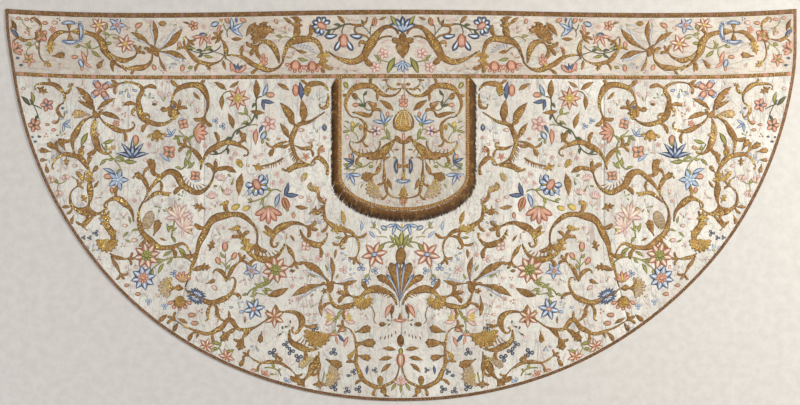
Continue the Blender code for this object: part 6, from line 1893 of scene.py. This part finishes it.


def fringe(name, material):
    """Cut strands round the hood, leaning outwards and towards the hem."""
    base = WALL + GAP
    marks = np.linspace(0, 3, 1501)
    reach = distance_along(np.array([hood_point(t, GAP)[0] for t in marks]))
    root_colour, tip_colour = (linear(code) for code in STRAND_COLOURS)
    points, faces, places, colours = [], [], [], []
    strands = int(reach[-1] / STRAND_PITCH)
    for k in range(strands):
        t = float(np.interp((k + chance.random()) / strands * reach[-1], reach, marks))
        start, normal = hood_point(t, chance.uniform(GAP, STRAND_START))
        way = np.array(normal) * STRAND_SPREAD + (0, -1)
        way += (chance.gauss(0, STRAND_STRAY), chance.gauss(0, STRAND_STRAY))
        way /= np.linalg.norm(way)
        length = chance.uniform(*STRAND_LENGTH)
        half = chance.uniform(*STRAND_HALF_WIDTH)
        tone = chance.uniform(*STRAND_TONE)
        drift = chance.gauss(0, STRAND_DRIFT)
        across = np.array((-way[1], way[0]))
        root = base + chance.uniform(STRAND_LOW, FRINGE_HEIGHT)
        first = len(points)
        for i in range(STRAND_SECTIONS):
            s = i / (STRAND_SECTIONS - 1)
            at = np.array(start) + way * length * s + across * drift * s * s
            size = half * (1 - STRAND_TAPER * s)
            arch = STRAND_ARCH * math.sin(math.pi * min(s * 1.3, 1))
            z = root + arch - (root - base - STRAND_REST) * s * STRAND_SINK
            shade = (root_colour * (1 - s**STRAND_FADE) + tip_colour * s**STRAND_FADE) * tone
            for a, b in ((-1, 0), (0, 1), (1, 0), (0, -1)):
                points.append((*(at + across * size * a), max(z + size * b * 0.8, base)))
                places.append((length * s, size * a))
                colours.append(shade)
        for low in range(first, len(points) - 4, 4):
            for a in range(4):
                b = (a + 1) % 4
                faces.append((low + a, low + b, low + 4 + b, low + 4 + a))
    mesh = mesh_of(name, points, faces)
    put_places(mesh, places)
    put_colours(mesh, colours)
    return laid_askew(make_object(name, mesh, material))


# ---- Materials -----------------------------------------------------------------------------------


def rgba(code):
    return (*linear(code), 1.0)


class Nodes:
    """A material and short ways to wire its nodes."""

    def __init__(self, name, roughness, metallic=0.0):
        self.material = bpy.data.materials.new(name)
        self.material.use_nodes = True
        self.tree = self.material.node_tree
        self.shader = self.tree.nodes["Principled BSDF"]
        self.shader.inputs["Roughness"].default_value = roughness
        self.shader.inputs["Metallic"].default_value = metallic

    def node(self, kind, **settings):
        made = self.tree.nodes.new(kind)
        for key, value in settings.items():
            setattr(made, key, value)
        return made

    def link(self, source, target):
        self.tree.links.new(source, target)

    def value(self, target, source):
        if hasattr(source, "links"):
            self.link(source, target)
        else:
            target.default_value = source

    def spot(self):
        """Object coordinates."""
        return self.node("ShaderNodeTexCoord").outputs["Object"]

    def place(self):
        """What put_places has stored."""
        return self.node("ShaderNodeUVMap", uv_map="place").outputs[0]

    def tone(self):
        """What put_colours has stored."""
        return self.node("ShaderNodeAttribute", attribute_name="tone").outputs["Color"]

    def math(self, operation, a, b=0.0):
        node = self.node("ShaderNodeMath", operation=operation)
        for target, source in zip(node.inputs, (a, b)):
            self.value(target, source)
        return node.outputs[0]

    def times(self, a, b):
        return self.math("MULTIPLY", a, b)

    def ease(self, value, low, high, to_low=0.0, to_high=1.0):
        node = self.node("ShaderNodeMapRange", interpolation_type="SMOOTHSTEP")
        for target, source in zip(node.inputs, (value, low, high, to_low, to_high)):
            self.value(target, source)
        return node.outputs["Result"]

    def mix(self, factor, a, b):
        """A mix of two colours, each a socket or a code."""
        node = self.node("ShaderNodeMix", data_type="RGBA")
        self.value(node.inputs["Factor"], factor)
        for target, source in zip(node.inputs[6:8], (a, b)):
            self.value(target, rgba(source) if isinstance(source, str) else source)
        return node.outputs[2]

    def tinted(self, colour, tints):
        """The colour under tints, each given as where it lies, how strongly, and its colour."""
        for where, share, tint in tints:
            colour = self.mix(self.times(where, share), colour, tint)
        return colour

    def stretched(self, source, scale):
        node = self.node("ShaderNodeMapping")
        self.link(source, node.inputs["Vector"])
        node.inputs["Scale"].default_value = scale
        return node.outputs[0]

    def noise(self, vector, scale=1.0, detail=2.0, roughness=0.5):
        node = self.node("ShaderNodeTexNoise")
        self.link(vector, node.inputs["Vector"])
        node.inputs["Scale"].default_value = scale
        node.inputs["Detail"].default_value = detail
        node.inputs["Roughness"].default_value = roughness
        return node.outputs[0]

    def waves(self, vector, axis, scale, distortion):
        node = self.node("ShaderNodeTexWave", bands_direction=axis)
        self.link(vector, node.inputs["Vector"])
        node.inputs["Scale"].default_value = scale
        node.inputs["Distortion"].default_value = distortion
        return node.outputs[1]

    def roughened(self, worn, low, high):
        """Makes the roughness run from low to high with a noise."""
        self.link(self.ease(worn, 0.3, 0.7, low, high), self.shader.inputs["Roughness"])

    def finished(self, colour, layers):
        """The material in this colour, with height layers, each a socket and its height in metres."""
        self.link(colour, self.shader.inputs["Base Color"])
        normal = None
        for height, distance in layers:
            node = self.node("ShaderNodeBump")
            node.inputs["Strength"].default_value = 1.0
            node.inputs["Distance"].default_value = distance
            self.link(height, node.inputs["Height"])
            if normal:
                self.link(normal, node.inputs["Normal"])
            normal = node.outputs[0]
        self.link(normal, self.shader.inputs["Normal"])
        return self.material


def silk_cloth(name, upright, dark="#D2CEC4", light="#E7E4DA"):
    """Ivory silk: a fine rib, uneven threads, and fine curly crinkles that mostly run one way. The
    crinkles' grey and pink lines are partly painted shade in their grooves and partly a faint pattern of
    the silk; grey blotches over the crumples are painted shade.
    """
    m = Nodes(name, 0.5)
    at = m.spot()

    def crinkles(across, along, width, low, high):
        """Thin curly lines, wherever a second noise is between low and high."""
        scale = (across, along, 1) if upright else (along, across, 1)
        folds = m.noise(m.stretched(at, scale), 1.0, 1.0)
        line = m.ease(m.math("ABSOLUTE", m.math("SUBTRACT", folds, 0.5)), 0.0, width, 1.0, 0.0)
        where = m.noise(m.stretched(at, (along * 0.7 + 5, across * 0.3 + 4, 1)))
        return m.times(line, m.ease(where, low, high))

    long_lines = crinkles(20, 4.5, 0.02, 0.36, 0.5)
    curls = crinkles(52, 30, 0.045, 0.34, 0.56)
    small_curls = crinkles(96, 58, 0.06, 0.36, 0.6)
    pink_curls = crinkles(64, 40, 0.05, 0.42, 0.6)
    ripples = m.noise(m.stretched(at, (30, 9, 1) if upright else (11, 32, 1)))
    crumple = m.noise(at, 34, 4.0, 0.62)
    threads = m.noise(m.stretched(at, (24, 700, 1)))
    rib = m.waves(at, "X", 420, 0.6)
    weft = m.waves(at, "Y", 700, 0.4)
    mottle = m.noise(at, 3.2, 3.0, 0.55)
    tint = m.noise(at, 24, 3.0, 0.6)
    # Painted shade: grey blotches over the crumples, and the crinkle lines, which are partly also the
    # silk's faint pattern.
    tints = (
        (m.ease(tint, 0.5, 0.66), 0.4, "#DACBBE"),
        (m.ease(tint, 0.5, 0.36), 0.5, "#D8DDD2"),
        (m.ease(threads, 0.45, 0.75), 0.2, "#C6BFB4"),
        (m.ease(crumple, 0.55, 0.75), 0.25, "#BDB3AA"),
        (small_curls, 0.34, "#A6A29E"),
        (curls, 0.42, "#9C9A9A"),
        (pink_curls, 0.4, "#B48C80"),
        (long_lines, 0.45, "#8E8580"),
    )
    layers = (
        (ripples, 0.0024),
        (crumple, 0.0014),
        (long_lines, -0.0006),
        (curls, -0.0004),
        (small_curls, -0.0003),
        (rib, 0.00009),
        (weft, 0.00006),
    )
    m.roughened(crumple, 0.42, 0.6)
    m.shader.inputs["Sheen Weight"].default_value = 0.25
    m.shader.inputs["Sheen Roughness"].default_value = 0.4
    return m.finished(m.tinted(m.mix(m.ease(mottle, 0.35, 0.65), dark, light), tints), layers)


def stitched(name, metallic, roughness, pitch):
    """Couched or satin-stitched thread: fine threads across the blade, worn in patches. Painted shade
    darkens dark specks, the grooves between the threads and the hollows of its streaks; painted
    highlight lightens glints and the worn patches.
    """
    m = Nodes(name, roughness, metallic)
    tone, place, at = m.tone(), m.place(), m.spot()
    threads = m.waves(place, "X", 1 / pitch / 20 * math.pi, 1.2)
    cords = m.waves(place, "Y", 1 / pitch / 22 * math.pi, 0.6)
    bands = m.noise(m.stretched(place, (150, 40, 1)))
    glints = m.noise(at, 200, 2.0, 0.6)
    wear = m.noise(at, 55, 3.0, 0.6)
    strength = 1.0 if metallic else 0.35
    # dark is painted shade and light is painted highlight, each mixed into the thread's own tone.
    dark = m.mix(0.5 if metallic else 0.2, tone, "#3A2410" if metallic else "#6A5648")
    light = m.mix(0.5 if metallic else 0.25, tone, "#F0D294" if metallic else "#FFF8F0")
    # Painted shade in specks and between the threads; painted highlight as glints and over the worn
    # patches.
    tints = (
        (m.ease(glints, 0.5, 0.36), 0.55 * strength, dark),
        (m.ease(wear, 0.5, 0.7), 0.45 * strength, light),
        (m.ease(glints, 0.54, 0.68), 0.6 * strength, light),
        (threads, 0.25, dark),
    )
    layers = ((bands, 0.0004), (threads, 0.00018), (cords, 0.00012), (glints, 0.0003))
    m.roughened(wear, roughness - 0.08, roughness + 0.12)
    # The streaks of the bands are darkened with painted shade.
    return m.finished(m.tinted(m.mix(m.ease(bands, 0.36, 0.6), dark, tone), tints), layers)


def spangle_metal():
    m = Nodes("spangle_metal", 0.28, 0.75)
    tarnish = m.noise(m.spot(), 260)
    m.roughened(tarnish, 0.26, 0.48)
    colour = m.tinted(m.tone(), ((m.ease(tarnish, 0.45, 0.7), 0.55, "#8A6226"),))
    return m.finished(colour, ((tarnish, 0.0002),))


BLOCK_PITCH = 0.088  # distance between a galloon's rose blocks
BLOCK_EDGES = ((0.010, 0.0125), (0.0275, 0.030))  # where a block starts and ends, after each pitch


def galloon_weave(name, width, ground_tone, block_tone, block_share, float_tone="#E2BE78"):
    """Gold weave with bright floats, painted shade along its sides over the cords, and a rose block at
    each pitch.
    """
    m = Nodes(name, 0.45, 0.35)
    place = m.place()
    split = m.node("ShaderNodeSeparateXYZ")
    m.link(place, split.inputs[0])
    u, v = split.outputs[0], split.outputs[1]
    slant = m.math("ADD", m.times(u, 1 / 0.0042), m.times(m.math("ABSOLUTE", v), 1 / 0.0045))
    stripes = m.math("SINE", m.times(slant, math.pi))
    rows = m.math("SINE", m.times(v, math.pi / 0.0011))
    beat = m.math("MODULO", u, BLOCK_PITCH)
    start, end = BLOCK_EDGES
    block = m.times(m.ease(beat, *start), m.ease(beat, *end, 1.0, 0.0))
    wear = m.noise(m.stretched(place, (90, 160, 1)), 1.0, 3.0, 0.6)
    floats = m.noise(m.stretched(place, (230, 120, 1)), 1.0, 1.0)
    tints = (
        (m.ease(floats, 0.52, 0.66), 0.75, float_tone),
        (m.ease(wear, 0.52, 0.75), 0.5, "#7A5430"),
        (block, block_share, block_tone),
        # painted shade along both sides, over the cords
        (m.ease(m.math("ABSOLUTE", v), 0.36 * width, 0.44 * width), 0.7, "#4A3018"),
    )
    m.roughened(wear, 0.36, 0.58)
    colour = m.tinted(m.mix(m.ease(stripes, -0.6, 0.8), "#6B4A26", ground_tone), tints)
    return m.finished(colour, ((stripes, 0.0002), (rows, 0.00008), (wear, 0.0003)))


def fringe_thread():
    m = Nodes("fringe_thread", 0.5, 0.3)
    twist = m.waves(m.place(), "DIAGONAL", 90, 1.0)
    dust = m.noise(m.spot(), 45, 3.0, 0.6)
    tints = ((twist, 0.4, "#3A2408"), (m.ease(dust, 0.5, 0.7), 0.4, "#B98F4A"))
    m.roughened(dust, 0.4, 0.62)
    return m.finished(m.tinted(m.tone(), tints), ((twist, 0.0002),))


def floor_finish():
    m = Nodes("floor_finish", 0.85)
    grain = m.noise(m.spot(), 30, 4.0, 0.6)
    return m.finished(m.mix(m.ease(grain, 0.3, 0.7), "#C9C6C1", "#D2CFCA"), ((grain, 0.0005),))


# ---- The cope ------------------------------------------------------------------------------------

upright_silk = silk_cloth("body_silk", True)
# The orphrey's silk is darker than the body's: painted shade, where the light falls off towards the
# straight edge.
level_silk_painted_shade = silk_cloth("orphrey_silk", False, "#C4B9A9", "#DAD0C1")
hood_silk = silk_cloth("hood_silk", True, "#C0B8A8", "#D4CDBE")
gold_thread = stitched("gold_thread", 0.3, 0.42, 0.0008)
silk_thread = stitched("silk_thread", 0.0, 0.5, 0.0006)
spangle_finish = spangle_metal()

embroidery = {}
for section, stems, sprays, combs, motifs in (
    ("orphrey", ORPHREY_STEMS, ORPHREY_SPRAYS, ORPHREY_COMBS, ORPHREY_MOTIFS),
    ("hood", HOOD_STEMS, HOOD_SPRAYS, HOOD_COMBS, HOOD_MOTIFS),
    ("body", BODY_STEMS, BODY_SPRAYS, BODY_COMBS, BODY_TOP_MOTIFS + BODY_SIDE_MOTIFS + BODY_LOW_MOTIFS),
):
    lines = [scroll_line(stem) for stem in stems]
    rows = [Motif(*row) for row in motifs]
    rows += fillers(section, lines, sprays, combs, rows)
    for side, hand in SIDES:
        names = [f"{section}_{kind}_{hand}" for kind in ("goldwork", "needlework", "spangles")]
        work = Work(*(Stitches(name, section) for name in names))
        for own, stem in enumerate(stems):
            stitch_stem(work, side, stem, lines, own)
        for spray in sprays:
            stitch_spray(work, side, spray)
        for comb in combs:
            stitch_comb(work, side, comb)
        for motif in rows:
            if motif.x or side > 0:
                stitch_motif(work, side, motif)
        embroidery[section, hand] = [
            work.gold.build(gold_thread),
            work.silk.build(silk_thread),
            work.spangles.build(spangle_finish),
        ]

on_body = WALL + GAP  # height at which the hood and the trim lie on the body silk
on_hood = on_body + WALL + GAP
half_band = BAND_GALLOON / 2

hem_outer = resampled([hem_point(a) for a in np.linspace(0, math.pi, 900)], TRIM_STEP)
top_end = HALF_WIDTH - HEM_GALLOON - 2 * GAP
top_marks = even_steps(-top_end, top_end, TRIM_STEP)
band_end = float(hem_x(band_seam_y(corner_x()))) - HEM_GALLOON * END_SLANT - GAP
band_marks = even_steps(-band_end, band_end, TRIM_STEP)
hood_marks = np.linspace(0, 3, 420)

trim = {
    "galloon_hem": galloon(
        "hem_galloon",
        hem_outer,
        [hem_point(hem_angle(x), HEM_GALLOON) for x, _ in hem_outer],
        on_body,
        galloon_weave("hem_galloon_weave", HEM_GALLOON, "#725036", "#906456", 0.6, "#B89460"),
    ),
    "galloon_top_edge": galloon(
        "edge_galloon",
        [(x, edge_y(x)) for x in top_marks],
        [(x, edge_y(x) - EDGE_GALLOON) for x in top_marks],
        on_body,
        # The straight edge's galloon has a darker ground than the band's: painted shade, where the light
        # falls off towards the straight edge.
        galloon_weave("edge_galloon_weave", EDGE_GALLOON, "#80603C", "#A07264", 0.6, "#BC965C"),
    ),
    "galloon_orphrey": galloon(
        "band_galloon",
        [(x, band_seam_y(x) + half_band) for x in band_marks],
        [(x, band_seam_y(x) - half_band) for x in band_marks],
        on_body,
        galloon_weave("band_galloon_weave", BAND_GALLOON, "#A87E48", "#C88E7C", 0.85),
    ),
    "galloon_hood": galloon(
        "hood_galloon",
        [hood_point(t)[0] for t in hood_marks],
        [hood_point(t, -HOOD_GALLOON)[0] for t in hood_marks],
        on_hood,
        galloon_weave("hood_galloon_weave", HOOD_GALLOON, "#C09050", "#C08868", 0.25),
    ),
    "hood_fringe": fringe("cut_fringe", fringe_thread()),
}
for node, piece in trim.items():
    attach(piece, "root")
    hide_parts(node)

for pieces in embroidery.values():
    for piece in pieces:
        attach(piece, "root")

for side, hand in SIDES:
    for name, section, outline, base, finish in (
        ("orphrey", "orphrey", orphrey_outline(), 0.0, level_silk_painted_shade),
        ("body_centre", "body", centre_outline(), 0.0, upright_silk),
        ("body_side", "body", side_outline(), 0.0, upright_silk),
        ("hood", "hood", hood_outline(), on_body, hood_silk),
    ):
        panel = cloth_panel(f"{name}_silk_{hand}", section, turned(outline, side), base, finish)
        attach(panel, "root")
        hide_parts(f"{name}_{hand}")

# ---- Setting -------------------------------------------------------------------------------------

FLOOR_REACH = 30.0
FLOOR_HEIGHT = -0.001

scene = bpy.context.scene
scene.view_settings.view_transform = "Standard"
scene.view_settings.look = "None"

ways = ((-1, -1), (1, -1), (1, 1), (-1, 1))
corners = [(x * FLOOR_REACH, y * FLOOR_REACH, FLOOR_HEIGHT) for x, y in ways]
floor = make_object("floor", mesh_of("floor", corners, [(0, 1, 2, 3)], [False]), floor_finish())

world = bpy.data.worlds.new("studio")
world.use_nodes = True
background = world.node_tree.nodes["Background"]
background.inputs["Color"].default_value = (1.0, 0.97, 0.94, 1.0)
background.inputs["Strength"].default_value = 0.42
scene.world = world


def area_light(name, location, target, size, power, colour):
    data = bpy.data.lights.new(name, "AREA")
    data.shape = "DISK"
    data.size = size
    data.energy = power
    data.color = colour
    light = bpy.data.objects.new(name, data)
    light.location = location
    light.rotation_mode = "QUATERNION"
    light.rotation_quaternion = (Vector(target) - Vector(location)).to_track_quat("-Z", "Y")
    scene.collection.objects.link(light)
    return light


warm, cool = (1.0, 0.96, 0.89), (0.92, 0.94, 1.0)
# The key light stands low, to rake across the relief.
key = area_light("key", (5.2, 1.6, 2.9), (0.3, 0.0, 0.0), size=1.2, power=400, colour=warm)
fill = area_light("fill", (-4.5, -1.5, 4.2), (0.0, 0.0, 0.0), size=3.0, power=130, colour=cool)

# Square on from above, as in the photo.
camera_data = bpy.data.cameras.new("camera")
camera_data.lens = 100
camera_data.sensor_width = 36
camera_data.clip_end = 100
camera = bpy.data.objects.new("camera", camera_data)
camera.location = (-0.0037, 0.009, 8.147)
scene.collection.objects.link(camera)
scene.camera = camera
